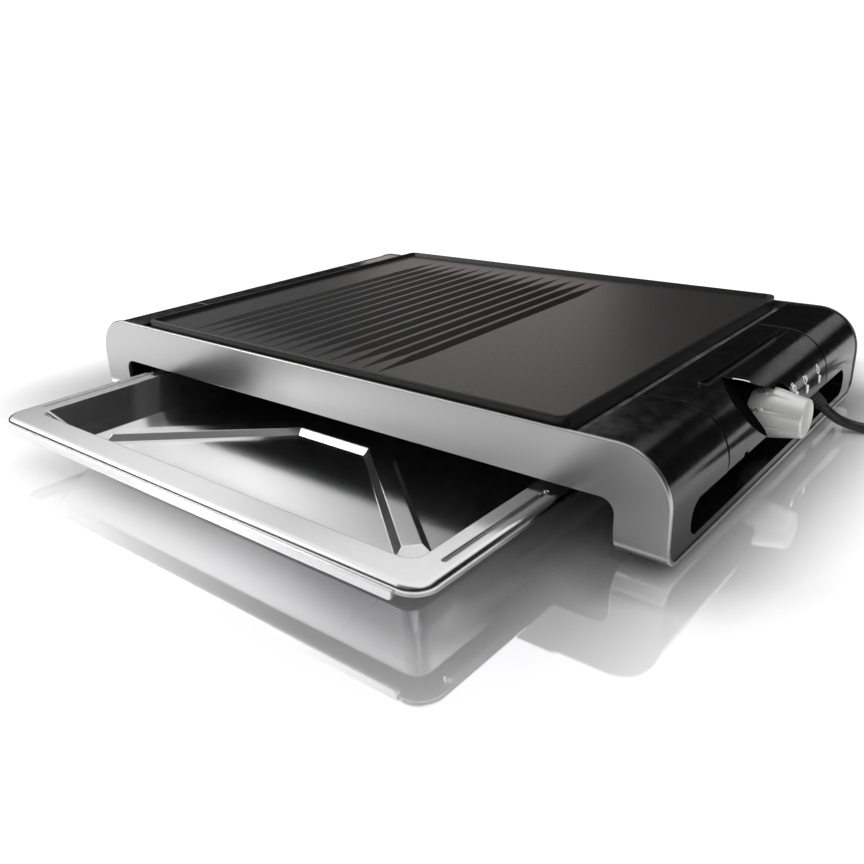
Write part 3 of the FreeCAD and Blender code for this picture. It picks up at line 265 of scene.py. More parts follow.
@dataclass(frozen=True)
class Finish:
    """A surface: its tone moves its colour, and its wear, or else its tone, moves its roughness."""

    name: str
    dark: Colour
    light: Colour | None = None
    tone: Grain = Grain(1000.0)
    wear: Grain | None = None
    roughness: Flat = (0.5, 0.5)
    reliefs: tuple[Relief, ...] = ()
    metallic: float = 0.0
    specular: float = 0.5
    haze: float = 0.0
    haze_depth: float = 0.001
    bevel: float = 0.0

    def touch_up(self, paint: Paint) -> None:
        """What a finish does by place; most do nothing."""

    def material(self) -> bpy.types.Material:
        """Write the finish.

        Returns:
            Its material.
        """
        paint = Paint(self.name, self.bevel)
        paint.set(
            Base_Color=paint.between(self.tone, self.dark, self.light or self.dark),
            Roughness=paint.between(self.wear or self.tone, *self.roughness), Metallic=self.metallic,
            Specular_IOR_Level=self.specular, Subsurface_Weight=self.haze, Subsurface_Scale=self.haze_depth)
        for relief in self.reliefs:
            paint.raise_relief(relief)
        self.touch_up(paint)
        return paint.done()


@dataclass(frozen=True)
class SilverLacquer(Finish):
    """Satin silver lacquer over pressed sheet, cloudy and with a fine metal flake."""

    name: str = "silver_lacquer"
    dark: Colour = (0.46, 0.465, 0.46)
    light: Colour = (0.52, 0.525, 0.52)
    tone: Grain = Grain(2600.0, 1.0, low=0.35, high=0.65)
    wear: Grain = Grain(9.0, 2.0)
    roughness: Flat = (0.27, 0.33)
    reliefs: tuple[Relief, ...] = (Relief(tone, 0.00002, 0.25),)
    metallic: float = 1.0
    bevel: float = 0.0004


@dataclass(frozen=True)
class GlossMoulding(Finish):
    """Glossy moulded black, slightly wavy and scuffed; round the knob and on the scoop's slanted face beside
    it, rougher and with its reflection taken away, which is painted shade in that recess.
    """

    name: str = "black_gloss"
    dark: Colour = (0.0025, 0.0025, 0.0028)
    wear: Grain = Grain(130.0, 6.0)
    roughness: Flat = (0.12, 0.20)
    reliefs: tuple[Relief, ...] = (Relief(Grain(14.0, 1.0), 0.0002, 0.015),)
    bevel: float = 0.0005
    # Where shade is painted: the collar round the knob and the scoop's slanted face.
    collar_radius: float = 0.0205
    collar_edge: float = 0.0004
    collar_start: Flat = (0.20, 0.21)
    scoop_point: Point = (0.2389, -0.0432, 0.0734)
    scoop_normal: Point = (0.69, 0.34, 0.64)
    roof_point: Point = (0.2389, -0.0380, 0.0730)
    roof_normal: Point = (0.0, -0.3843, -0.9232)
    scoop_depth: float = 0.0006
    dulling: float = 0.47

    def past(self, paint: Paint, point: Point, normal: Point) -> Socket:
        """Measure from a plane.

        Args:
            paint: the material.
            point: a point of the plane.
            normal: the way it faces.

        Returns:
            How far a place lies along the normal from the plane.
        """
        along = paint.tree.nodes.new("ShaderNodeVectorMath")
        along.operation = "DOT_PRODUCT"
        paint.feed(along.inputs[0], paint.place)
        paint.feed(along.inputs[1], normal)
        return paint.apply("SUBTRACT", along.outputs["Value"], sum(a * b for a, b in zip(point, normal)))

    def dull_places(self, paint: Paint) -> Socket:
        """Find the places that are roughened and painted into shade.

        Args:
            paint: the material.

        Returns:
            1 on the collar round the knob and on the scoop's slanted face, and 0 elsewhere.
        """
        x, y, z = paint.split(paint.place)
        off_axis = paint.reach(y, paint.apply("SUBTRACT", z, KNOB_HEIGHT * MM))
        collar = paint.product(
            paint.ramp(off_axis, self.collar_radius, self.collar_radius - self.collar_edge),
            paint.ramp(x, *self.collar_start))
        off_face = paint.apply("ABSOLUTE", self.past(paint, self.scoop_point, self.scoop_normal))
        face = paint.product(
            paint.ramp(off_face, self.scoop_depth, self.scoop_depth / 2),
            paint.ramp(self.past(paint, self.roof_point, self.roof_normal), 0.0, self.scoop_depth),
            paint.ramp(y, self.scoop_depth, 0.0))
        return paint.apply("MAXIMUM", collar, face)

    def touch_up(self, paint: Paint) -> None:
        """Roughen the collar and the scoop's face and take their reflection away, as painted shade.

        Args:
            paint: the material.
        """
        shade_and_dull = self.dull_places(paint)
        scuffed = paint.shader.inputs["Roughness"].links[0].from_socket
        # Painted shade: no reflection on the collar round the knob and on the scoop's face, so both stay near
        # black.
        paint.set(Roughness=paint.apply("ADD", scuffed, paint.product(shade_and_dull, self.dulling)),
                  Specular_IOR_Level=paint.ramp(shade_and_dull, 0.0, 1.0, self.specular, 0.0))


@dataclass(frozen=True)
class MattMoulding(Finish):
    """Matt black moulding with a spark-eroded grain."""

    name: str = "black_matt"
    dark: Colour = (0.018, 0.018, 0.018)
    tone: Grain = Grain(1500.0)
    roughness: Flat = (0.52, 0.68)
    reliefs: tuple[Relief, ...] = (Relief(tone, 0.00004, 0.5),)
    bevel: float = 0.0003


@dataclass(frozen=True)
class NonStick(Finish):
    """Dark brown-grey non-stick coating over cast aluminium, faintly flecked."""

    name: str = "non_stick"
    dark: Colour = (0.0050, 0.0040, 0.0034)
    light: Colour = (0.0095, 0.0080, 0.0070)
    tone: Grain = Grain(2400.0, 1.0, low=0.45, high=0.7)
    wear: Grain = Grain(420.0, 4.0)
    roughness: Flat = (0.35, 0.41)
    reliefs: tuple[Relief, ...] = (Relief(wear, 0.00006, 0.05),)
    specular: float = 0.35
    bevel: float = 0.0005


@dataclass(frozen=True)
class TraySteel(Finish):
    """Bright pressed sheet, with the slow ripples of the press and a fine rolled grain."""

    name: str = "tray_steel"
    dark: Colour = (0.80, 0.80, 0.80)
    tone: Grain = Grain(260.0, 4.0, (1.0, 14.0, 14.0))
    roughness: Flat = (0.12, 0.21)
    reliefs: tuple[Relief, ...] = (Relief(Grain(22.0, 1.0), 0.0004, 0.10), Relief(tone, 0.00001, 0.12))
    metallic: float = 1.0
    bevel: float = 0.0010


@dataclass(frozen=True)
class PlatedSheet(Finish):
    """Zinc-plated sheet with faint spangles."""

    name: str = "plated_sheet"
    dark: Colour = (0.30, 0.31, 0.32)
    light: Colour = (0.42, 0.43, 0.44)
    tone: Grain = Grain(90.0, low=0.1, high=0.8, cells=True)
    roughness: Flat = (0.36, 0.50)
    metallic: float = 1.0


@dataclass(frozen=True)
class HeatedTube(Finish):
    """Sheathed element tube, stained dark by heat."""

    name: str = "heated_tube"
    dark: Colour = (0.035, 0.033, 0.032)
    light: Colour = (0.15, 0.145, 0.14)
    tone: Grain = Grain(38.0, 5.0)
    roughness: Flat = (0.42, 0.62)
    reliefs: tuple[Relief, ...] = (Relief(Grain(900.0), 0.00003, 0.4),)
    metallic: float = 0.8


@dataclass(frozen=True)
class PlainMetal(Finish):
    """Turned or stamped small metal parts."""

    tone: Grain = Grain(700.0, 2.0, (0.1, 1.0, 1.0))
    roughness: Flat = (0.19, 0.33)
    metallic: float = 1.0
    bevel: float = 0.0002


@dataclass(frozen=True)
class Ceramic(Finish):
    """Unglazed pale ceramic with fine pores."""

    name: str = "ceramic"
    dark: Colour = (0.56, 0.53, 0.47)
    light: Colour = (0.70, 0.67, 0.61)
    tone: Grain = Grain(1100.0, high=0.55)
    roughness: Flat = (0.72, 0.72)
    reliefs: tuple[Relief, ...] = (Relief(tone, 0.00005, 0.5),)
    bevel: float = 0.0003


@dataclass(frozen=True)
class SatinKnob(Finish):
    """Silver-lacquered plastic of the knob, softer and warmer than the sheet."""

    name: str = "satin_knob"
    dark: Colour = (0.57, 0.58, 0.56)
    light: Colour = (0.64, 0.65, 0.63)
    tone: Grain = Grain(3200.0, 1.0)
    roughness: Flat = (0.36, 0.36)
    reliefs: tuple[Relief, ...] = (Relief(tone, 0.00002, 0.2),)
    metallic: float = 0.42
    bevel: float = 0.0005


@dataclass(frozen=True)
class MilkyLens(Finish):
    """Milky translucent plastic over a small lamp."""

    name: str = "milky_lens"
    dark: Colour = (0.70, 0.70, 0.69)
    light: Colour = (0.80, 0.80, 0.78)
    tone: Grain = Grain(600.0, 2.0, low=0.0, high=1.0)
    roughness: Flat = (0.22, 0.22)
    haze: float = 0.4


@dataclass(frozen=True)
class Laminate(Finish):
    """Brown circuit laminate with its woven layer showing faintly."""

    name: str = "laminate"
    dark: Colour = (0.16, 0.10, 0.03)
    light: Colour = (0.24, 0.16, 0.06)
    tone: Grain = Grain(1300.0, 2.0, (1.0, 1.0, 0.25))


@dataclass(frozen=True)
class SoftRubber(Finish):
    """Soft rubber with a faint bloom and a fine skin."""

    tone: Grain = Grain(240.0, 4.0, low=0.4, high=0.8)
    wear: Grain = Grain(240.0, 4.0)
    reliefs: tuple[Relief, ...] = (Relief(Grain(1800.0, 2.0), 0.00002, 0.4),)
    bevel: float = 0.0003


@dataclass(frozen=True)
class Print(Finish):
    """Thin matt ink of slightly uneven tone."""

    tone: Grain = Grain(900.0, 2.0, low=0.0, high=1.0)
    roughness: Flat = (0.45, 0.45)


@dataclass(frozen=True)
class DeepMatt(Finish):
    """Black that reflects nothing, laid as painted shade."""

    tone: Grain = Grain(1600.0, 2.0, low=0.0, high=1.0)
    wear: Grain = Grain(1600.0, 2.0)
    roughness: Flat = (0.80, 0.95)
    specular: float = 0.0


FINISHES: dict[str, Finish] = {
    "silver_sheet": SilverLacquer(),
    "black_gloss": GlossMoulding(),
    "black_matt": MattMoulding(),
    "non_stick": NonStick(),
    "tray_steel": TraySteel(),
    "zinc_sheet": PlatedSheet(),
    "element_tube": HeatedTube(),
    "ceramic": Ceramic(),
    "brass": PlainMetal("brass", (0.72, 0.55, 0.26)),
    "nickel": PlainMetal("nickel", (0.68, 0.67, 0.65), roughness=(0.12, 0.26)),
    "knob_silver": SatinKnob(),
    "lens": MilkyLens(),
    "board": Laminate(),
    "steel_screw": PlainMetal("steel_screw", (0.46, 0.46, 0.46), roughness=(0.24, 0.38)),
    "rubber": SoftRubber("foot_rubber", (0.020, 0.020, 0.020), (0.041, 0.041, 0.041), roughness=(0.62, 0.80)),
    "cord_black": SoftRubber("cord_rubber", (0.014, 0.011, 0.013), (0.0296, 0.0239, 0.0277),
                             roughness=(0.28, 0.46)),
}
# Painted shade: black that reflects nothing, for the ring on the knob's collar and the bands in the unit's
# seams.
SHADE_BLACK = DeepMatt("shade_black", (0.0035, 0.0035, 0.0035), (0.0056, 0.0056, 0.0056))
WHITE_INK = Print("white_ink", (0.80, 0.80, 0.79), (0.896, 0.896, 0.8848))
GREY_INK = Print("grey_ink", (0.06, 0.06, 0.06), (0.0672, 0.0672, 0.0672))


class Palette:
    """Makes each finish once and hands it out."""

    def __init__(self) -> None:
        """Start with no finish made."""
        self.made: dict[str, bpy.types.Material] = {}

    def get(self, finish: Finish) -> bpy.types.Material:
        """Look a finish up.

        Args:
            finish: the finish.

        Returns:
            Its material.
        """
        if finish.name not in self.made:
            self.made[finish.name] = finish.material()
        return self.made[finish.name]

    def of(self, slot: str) -> bpy.types.Material:
        """The material of one of the record's slots."""
        return self.get(FINISHES[slot])


def dress(piece: bpy.types.Object, material: bpy.types.Material) -> None:
    """Give a piece one material in place of what it has."""
    piece.data.materials.clear()
    piece.data.materials.append(material)


def linked(name: str, data: bpy.types.ID) -> bpy.types.Object:
    """Put a new object in the scene.

    Args:
        name: its name.
        data: its mesh, curve, light or camera.

    Returns:
        The object.
    """
    piece = bpy.data.objects.new(name, data)
    bpy.context.scene.collection.objects.link(piece)
    return piece


def modelled(name: str, shape: bmesh.types.BMesh, smooth: bool = False) -> bpy.types.Object:
    """Turn a worked mesh into an object.

    Args:
        name: the object's name.
        shape: its mesh in metres; it is freed.
        smooth: whether faces are shaded smooth.

    Returns:
        The object, in the scene.
    """
    mesh = bpy.data.meshes.new(name)
    shape.to_mesh(mesh)
    shape.free()
    mesh.polygons.foreach_set("use_smooth", [smooth] * len(mesh.polygons))
    return linked(name, mesh)


@dataclass(frozen=True)
class SoftBox:
    """An area light: where it hangs, what it faces, its width and height, its watts and its tint."""

    name: str
    place: Point
    target: Point
    size: Flat
    power: float
    tint: Colour = (1.0, 1.0, 1.0)

    def hang(self) -> None:
        """Put the light in the scene."""
        data = bpy.data.lights.new(self.name, "AREA")
        data.shape, data.color, data.energy = "RECTANGLE", self.tint, self.power
        data.size, data.size_y = self.size
        lamp = linked(self.name, data)
        lamp.location = self.place
        lamp.rotation_euler = (Vector(self.target) - Vector(self.place)).to_track_quat("-Z", "Y").to_euler()


@dataclass
class Studio:
    """Glossy white floor, soft lights and the camera.

    The body and the tray are taken as upright rectangles on the floor, from which its mirror fades. The
    world's ramps give a direction's parts between which mirror-like surfaces see it go from dark to white.
    """

    camera_place: Point = (0.42645, -0.55695, 0.25451)
    yaw: float = 39.88
    pitch: float = 22.21
    roll: float = -2.10
    lens: float = 35.71
    sensor: float = 36.0
    near_clip: float = 0.01
    floor_radius: float = 9.0
    floor_white: float = 0.95
    floor_roughness: float = 0.05
    floor_tint: Colour = (0.96, 0.94, 0.97)
    body_half: Flat = (0.2675, 0.175)
    tray_half: Flat = (0.2035, 0.065)
    tray_middle: float = -0.240
    mirror_reach: float = 0.17
    right_reach: float = 0.08
    body_mirror: float = 0.80
    right_mirror: float = 0.62
    tray_mirror: float = 0.75
    right_start: Flat = (0.2375, 0.2875)
    tray_dimming: tuple[float, ...] = (-0.12, 0.16, 0.18, 1.0)
    surround: float = 1.16
    darkest: float = 0.006
    white_from: Flat = (0.40, 0.50)
    lowered_left: tuple[float, ...] = (-0.42, -0.26, 0.0, 0.10)
    lowered_right: tuple[float, ...] = (0.02, 0.30, 0.0, 0.25)
    near_depth: Flat = (-0.15, -0.45)
    near_start: Flat = (-0.60, -0.40)
    near_share: float = 0.15
    left_side: Flat = (-0.62, -0.76)
    left_height: Flat = (0.25, 0.36)
    lights: tuple[SoftBox, ...] = (
        SoftBox("key_box", (-1.7, -0.9, 1.2), (-0.1, 0.0, 0.05), (1.0, 0.8), 10.0),
        SoftBox("plate_box", (-1.15, 1.64, 0.62), (0.1, 0.0, 0.08), (0.8, 0.5), 1.45, (1.0, 0.93, 0.91)),
        SoftBox("shoulder_strip", (0.56, 1.63, 0.62), (0.24, 0.0, 0.06), (0.50, 0.32), 0.32))

    def aim_camera(self) -> None:
        """Place the camera where the photograph was taken from."""
        yaw, pitch, roll = (math.radians(angle) for angle in (self.yaw, self.pitch, self.roll))
        back = Vector((math.sin(yaw) * math.cos(pitch), -math.cos(yaw) * math.cos(pitch), math.sin(pitch)))
        level = Vector((0.0, 0.0, 1.0)).cross(back).normalized()
        upright = back.cross(level)
        right = level * math.cos(roll) + upright * math.sin(roll)
        up = upright * math.cos(roll) - level * math.sin(roll)
        data = bpy.data.cameras.new("camera")
        data.lens, data.sensor_width, data.clip_start = self.lens, self.sensor, self.near_clip
        camera = linked("camera", data)
        turn = Matrix((right, up, back)).transposed().to_4x4()
        camera.matrix_world = Matrix.Translation(self.camera_place) @ turn
        bpy.context.scene.camera = camera
        bpy.context.scene.view_settings.view_transform = "Standard"

    def mirror_round(self, paint: Paint, half: Flat, middle: float, reach: float, share: float) -> Socket:
        """Let the floor mirror what stands near.

        Args:
            paint: the floor's material.
            half: half the width and depth of what stands there.
            middle: its middle's place in depth.
            reach: how far from it the mirror fades out.
            share: how much the floor mirrors at its edge.

        Returns:
            The share that the floor mirrors.
        """
        x, y, _ = paint.split(paint.place)
        outside = []
        for part, centre, size in ((x, 0.0, half[0]), (y, middle, half[1])):
            off = paint.apply("ABSOLUTE", paint.apply("SUBTRACT", part, centre))
            outside.append(paint.apply("MAXIMUM", paint.apply("SUBTRACT", off, size), 0.0))
        return paint.ramp(paint.reach(*outside), 0.0, reach, share, 0.0)

    def lay_floor(self) -> None:
        """A wide white disc, polished where the grill stands so that it fades out of its own reflection."""
        shape = bmesh.new()
        bmesh.ops.create_circle(shape, cap_ends=True, segments=96, radius=self.floor_radius)
        floor = modelled("floor", shape)
        paint = Paint("white_floor")
        x = paint.split(paint.place)[0]
        on_right = paint.ramp(x, *self.right_start)
        elsewhere = paint.apply("SUBTRACT", 1.0, on_right)
        body = self.mirror_round(paint, self.body_half, 0.0, self.mirror_reach, self.body_mirror)
        right = self.mirror_round(paint, self.body_half, 0.0, self.right_reach, self.right_mirror)
        tray = self.mirror_round(paint, self.tray_half, self.tray_middle, self.mirror_reach, self.tray_mirror)
        body = paint.apply("ADD", paint.product(body, elsewhere), paint.product(right, on_right))
        share = paint.apply("MAXIMUM", body, paint.product(tray, paint.ramp(x, *self.tray_dimming)))
        paint.set(Base_Color=(self.floor_white,) * 3, Specular_IOR_Level=0.0)
        mirror = paint.node("ShaderNodeBsdfGlossy", Color=self.floor_tint, Roughness=self.floor_roughness)
        mix = paint.node("ShaderNodeMixShader", Fac=share)
        paint.feed(mix.inputs[1], paint.shader.outputs[0])
        paint.feed(mix.inputs[2], mirror.outputs[0])
        paint.feed(paint.tree.nodes["Material Output"].inputs["Surface"], mix.outputs[0])
        dress(floor, paint.done())

    def light_world(self) -> None:
        """A white surround; mirror-like surfaces see it white above and to the left, and dark low down."""
        world = bpy.data.worlds.new("studio")
        bpy.context.scene.world = world
        world.use_nodes = True
        world.node_tree.nodes.clear()
        nodes = Nodes(world.node_tree)
        x, y, z = nodes.split(nodes.node("ShaderNodeTexCoord").outputs["Generated"])
        near_side = nodes.product(nodes.ramp(y, *self.near_depth), nodes.ramp(x, *self.near_start))
        lowered = nodes.apply("SUBTRACT", z, nodes.ramp(x, *self.lowered_left))
        lowered = nodes.apply("SUBTRACT", lowered, nodes.ramp(x, *self.lowered_right))
        above = nodes.product(nodes.ramp(lowered, *self.white_from),
                              nodes.ramp(near_side, 0.0, 1.0, 1.0, self.near_share))
        left = nodes.product(nodes.ramp(x, *self.left_side), nodes.ramp(z, *self.left_height))
        seen = nodes.apply("MAXIMUM", nodes.apply("MAXIMUM", above, left), self.darkest)
        mirrored = nodes.node("ShaderNodeLightPath").outputs["Is Glossy Ray"]
        mix = nodes.node("ShaderNodeMixShader", Fac=mirrored)
        for socket, strength in zip(mix.inputs[1:], (self.surround, seen)):
            background = nodes.node("ShaderNodeBackground", Color=(1.0, 1.0, 1.0), Strength=strength)
            nodes.feed(socket, background.outputs["Background"])
        nodes.node("ShaderNodeOutputWorld", Surface=mix.outputs["Shader"])

    def build(self) -> None:
        """Set up the whole studio."""
        self.aim_camera()
        self.lay_floor()
        self.light_world()
        for light in self.lights:
            light.hang()
        log.info("studio set")


@dataclass
class MainsLead:
    """The lead from the control unit to the plug, its unseen length in a tied coil."""

    radius: float = 3.75
    route: tuple[Point, ...] = (
        (267.5, 88.5, 21.0), (274.43, 92.79, 13.08), (282.4, 97.5, 7.4), (292.5, 101.4, 4.4),
        (305.0, 104.0, 3.85), (319.0, 105.9, 3.75), (333.0, 106.3, 3.9), (347.0, 105.6, 4.5),
        (360.5, 105.0, 4.75), (374.5, 105.0, 4.75))
    coil_centre: Flat = (382.0, 155.0)
    coil_radius: float = 50.0
    coil_pitch: float = 8.1
    coil_half_turns: int = 5
    inner_step: float = 1.2
    base: float = 4.75
    straight: float = 7.5
    plug_rise: float = 26.0
    plug_height: float = 18.5
    points_per_half_turn: int = 10
    length: float = 1.504
    parts: tuple[str, ...] = ("cord_tie", "plug_body", "plug_pins")

    def turn_radii(self) -> list[float]:
        """Space the turns, in and out again.

        Returns:
            Radius at the end of each half turn.
        """
        inward = [self.coil_radius - k * self.coil_pitch / 2 for k in range(self.coil_half_turns)]
        inner = self.coil_radius - self.coil_half_turns * self.coil_pitch / 2 - self.inner_step
        return inward + [inner, inner] + inward[::-1]

    def turns(self) -> list[Point]:
        """Wind the coil, inwards on its lower layer and outwards on its upper one.

        Returns:
            Control points round both layers.
        """
        x, y = self.coil_centre
        radii = self.turn_radii()
        count = self.points_per_half_turn
        swell = 1.0 / math.cos(math.pi / count / 2)
        points: list[Point] = []
        for half in range(len(radii) - 1):
            low, high = (self.base if turn <= self.coil_half_turns else self.base + self.coil_pitch
                         for turn in (half, half + 1))
            for step in range(count):
                share = (step + 0.5) / count
                angle = -math.pi / 2 + math.pi * (half + share)
                reach = (radii[half] + (radii[half + 1] - radii[half]) * share) * swell
                ease = share * share * (3 - 2 * share)
                points.append((x + reach * math.cos(angle), y + reach * math.sin(angle),
                               low + (high - low) * ease))
        return points

    def run_to_plug(self) -> list[Point]:
        """Lead the last turn up to the plug.

        Returns:
            Control points to the plug's tail.
        """
        x, y = self.coil_centre
        y += self.coil_radius
        top = self.base + self.coil_pitch
        start = x - self.straight
        end = start - self.plug_rise
        third = self.plug_rise / 3
        return [
            (x, y, top), (start, y, top), (start - third, y, top), (end + third, y, self.plug_height),
            (end, y, self.plug_height), (end - self.straight, y, self.plug_height)]

    def build(self, palette: Palette) -> None:
        """Make the lead as one smooth curve with a round section.

        Args:
            palette: gives the finishes.
        """
        points = list(self.route) + self.turns() + self.run_to_plug()
        data = bpy.data.curves.new("mains_lead", "CURVE")
        data.dimensions = "3D"
        data.bevel_depth = self.radius * MM
        data.bevel_resolution = 6
        data.resolution_u = 8
        data.use_fill_caps = True
        spline = data.splines.new("NURBS")
        spline.points.add(len(points) - 1)
        for knot, place in zip(spline.points, points):
            knot.co = (*(part * MM for part in place), 1.0)
        spline.order_u = 3
        spline.use_endpoint_u = True
        lead = linked("mains_lead", data)
        dress(lead, palette.of("cord_black"))
        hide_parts("cord_lead", "cord_coil")
        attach(lead, Body.UNIT.value)
        log.info("lead laid, %d control points", len(points))


class Skin:
    """Finds places on the outer surface of a construction node."""

    hair: float = 0.013

    def __init__(self, node: str) -> None:
        """Index one node's faces."""
        mesh = frame["nodes"][node].data
        self.tree = BVHTree.FromPolygons([vertex.co for vertex in mesh.vertices],
                                         [tuple(face.vertices) for face in mesh.polygons])

    def look(self, eye: Vector, way: Vector) -> Spot:
        """Look at the surface, a hair aside where the look slips between two faces.

        Args:
            eye: where the look starts.
            way: its direction.

        Returns:
            The first point met, and its normal.
        """
        aside = Vector((way.y, way.z, way.x)) * self.hair * MM
        for shift in (Vector(), aside, -aside, aside.cross(way), -aside.cross(way)):
            point, normal, _, _ = self.tree.ray_cast(eye + shift, way)
            if point is not None:
                return point, normal
        raise ValueError(f"nothing is met from {tuple(eye)}")

    def from_right(self, y: float, z: float) -> Spot:
        """The point and normal that a look from the right meets at that depth and height."""
        return self.look(Vector((1.0, y, z)), Vector((-1.0, 0.0, 0.0)))

    def from_above(self, x: float, y: float) -> Spot:
        """The point and normal that a look from above meets."""
        return self.look(Vector((x, y, 1.0)), Vector((0.0, 0.0, -1.0)))


def smooth_line(corners: tuple[Flat, ...], closed: bool, steps: int = 5) -> list[Flat]:
    """A smooth line through corners in a plane.

    Args:
        corners: the points that it passes.
        closed: whether the end joins the start.
        steps: points for each stretch between corners.

    Returns:
        Points along the line.
    """
    count = len(corners)
    line = []
    for span in range(count if closed else count - 1):
        near = [corners[k % count if closed else min(max(k, 0), count - 1)]
                for k in range(span - 1, span + 3)]
        for step in range(steps):
            t = step / steps
            weights = (-t ** 3 + 2 * t ** 2 - t, 3 * t ** 3 - 5 * t ** 2 + 2,
                       -3 * t ** 3 + 4 * t ** 2 + t, t ** 3 - t ** 2)
            line.append(tuple(sum(weight * part for weight, part in zip(weights, parts)) / 2
                              for parts in zip(*near)))
    if not closed:
        line.append(corners[-1])
    return line


def join_rings(shape: bmesh.types.BMesh, rings: list[Ring]) -> None:
    """Join rings of points with faces.

    Args:
        shape: the mesh that holds them.
        rings: the rings in order, of as many points each or else of one point, which closes an end.
    """
    for near, far in zip(rings, rings[1:]):
        for k in range(max(len(near), len(far))):
            corners = [ring[place % len(ring)]
                       for ring, place in ((near, k), (near, k + 1), (far, k + 1), (far, k))]
            shape.faces.new(list(dict.fromkeys(corners)))


def ring_on_axis(shape: bmesh.types.BMesh, x: float, radii: list[float]) -> Ring:
    """Add a ring of points round the knob's axis.

    Args:
        shape: the mesh to add it to.
        x: its place along the axis.
        radii: the radius of each point, in even steps from the top towards the front.

    Returns:
        The ring.
    """
    ring = []
    for k, radius in enumerate(radii):
        angle = 2 * math.pi * k / len(radii)
        ring.append(shape.verts.new((x * MM, -math.sin(angle) * radius * MM,
                                     (KNOB_HEIGHT + math.cos(angle) * radius) * MM)))
    return ring


@dataclass(frozen=True)
class Ribbon:
    """The section of a thin flat band on a surface."""

    width: float
    rise: float
    sink: float

    def lay(self, shape: bmesh.types.BMesh, places: list[Spot], closed: bool = False) -> None:
        """Add the band along points on a surface.

        Args:
            shape: the mesh to add it to.
            places: point and surface normal along the band.
            closed: whether the end joins the start.
        """
        count = len(places)
        rings = []
        for number, (point, normal) in enumerate(places):
            before = places[(number - 1) % count if closed else max(number - 1, 0)][0]
            after = places[(number + 1) % count if closed else min(number + 1, count - 1)][0]
            side = normal.cross(after - before).normalized() * (self.width * MM / 2)
            rise, sink = normal * self.rise * MM, normal * self.sink * MM
            rings.append([shape.verts.new(point + offset) for offset in
                          (side + rise, rise - side, -side - sink, side - sink)])
        if closed:
            rings.append(rings[0])
        else:
            shape.faces.new(rings[0][::-1])
            shape.faces.new(rings[-1])
        join_rings(shape, rings)


def declare(piece: bpy.types.Object, body: Body) -> None:
    """Let a finished piece ride on its body, and log it.

    Args:
        piece: the piece.
        body: what it moves with.
    """
    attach(piece, body.value)
    log.info("%s on %s, %d faces", piece.name, body.value, len(piece.data.polygons))


def finish_piece(name: str, shape: bmesh.types.BMesh, material: bpy.types.Material, body: Body,
                 smooth: bool = False) -> bpy.types.Object:
    """Turn a mesh into a dressed piece that rides on a body.

    Args:
        name: the piece's name.
        shape: its mesh in metres, in place; it is freed.
        material: its finish.
        body: what it moves with.
        smooth: whether faces are shaded smooth.

    Returns:
        The piece.
    """
    bmesh.ops.recalc_face_normals(shape, faces=shape.faces)
    piece = modelled(name, shape, smooth)
    dress(piece, material)
    declare(piece, body)
    return piece


class Repeat(Nodes):
    """A Geometry Nodes tree that repeats its piece's own mesh and makes the copies real."""

    def __init__(self, name: str) -> None:
        """Start a tree of that name with its geometry sockets."""
        super().__init__(bpy.data.node_groups.new(name, "GeometryNodeTree"))
        for way in ("INPUT", "OUTPUT"):
            self.tree.interface.new_socket("Geometry", in_out=way, socket_type="NodeSocketGeometry")
        self.entry = self.node("NodeGroupInput")

    def ask(self, name: str, kind: str = "Float") -> Socket:
        """Add a named input and return its socket inside the tree."""
        self.tree.interface.new_socket(name, in_out="INPUT", socket_type="NodeSocket" + kind)
        return self.entry.outputs[name]

    def copy_to(self, points: bpy.types.Node, **pose: Socket) -> None:
        """End the tree with a copy on each point, in real geometry and with its material.

        Args:
            points: the node that gives the points.
            pose: the copies' rotation and scale.
        """
        copies = self.node("GeometryNodeInstanceOnPoints", Points=points.outputs[0],
                           Instance=self.entry.outputs["Geometry"], **pose)
        real = self.node("GeometryNodeRealizeInstances", Geometry=copies.outputs[0])
        dressed = self.node("GeometryNodeSetMaterial", Geometry=real.outputs[0],
                            Material=self.ask("Finish", "Material"))
        self.node("NodeGroupOutput", Geometry=dressed.outputs[0])

    def run(self, piece: bpy.types.Object, **values: object) -> None:
        """Repeat a piece's mesh and leave the result as its plain mesh.

        Args:
            piece: the piece, which holds one copy round the origin.
            values: the tree's inputs, named with underscores for spaces.
        """
        sockets = self.tree.interface.items_tree
        keys = {item.name: item.identifier for item in sockets if item.in_out == "INPUT"}
        modifier = piece.modifiers.new("repeat", "NODES")
        modifier.node_group = self.tree
        for name, value in values.items():
            modifier[keys[name.replace("_", " ")]] = value
        mesh = bpy.data.meshes.new_from_object(piece.evaluated_get(bpy.context.evaluated_depsgraph_get()))
        piece.modifiers.remove(modifier)
        mesh.name = piece.name
        piece.data = mesh


def ring_of_copies() -> Repeat:
    """A tree that sets copies round an axis that runs along X.

    Returns:
        The tree.
    """
    tree = Repeat("ring_of_copies")
    along, height, radius = (tree.ask(name) for name in ("Along", "Axis Height", "Radius"))
    first, step = tree.ask("First Angle"), tree.ask("Step Angle")
    points = tree.node("GeometryNodePoints", Count=tree.ask("Count", "Int"))
    number = tree.node("GeometryNodeInputIndex").outputs[0]
    angle = tree.apply("ADD", first, tree.product(number, step))
    out = tree.product(tree.apply("SINE", angle), radius, -1.0)
    up = tree.apply("ADD", height, tree.product(tree.apply("COSINE", angle), radius))
    place = tree.node("ShaderNodeCombineXYZ", X=along, Y=out, Z=up)
    moved = tree.node("GeometryNodeSetPosition", Geometry=points.outputs[0], Position=place.outputs[0])
    tree.copy_to(moved, Rotation=tree.node("ShaderNodeCombineXYZ", X=angle).outputs[0])
    return tree


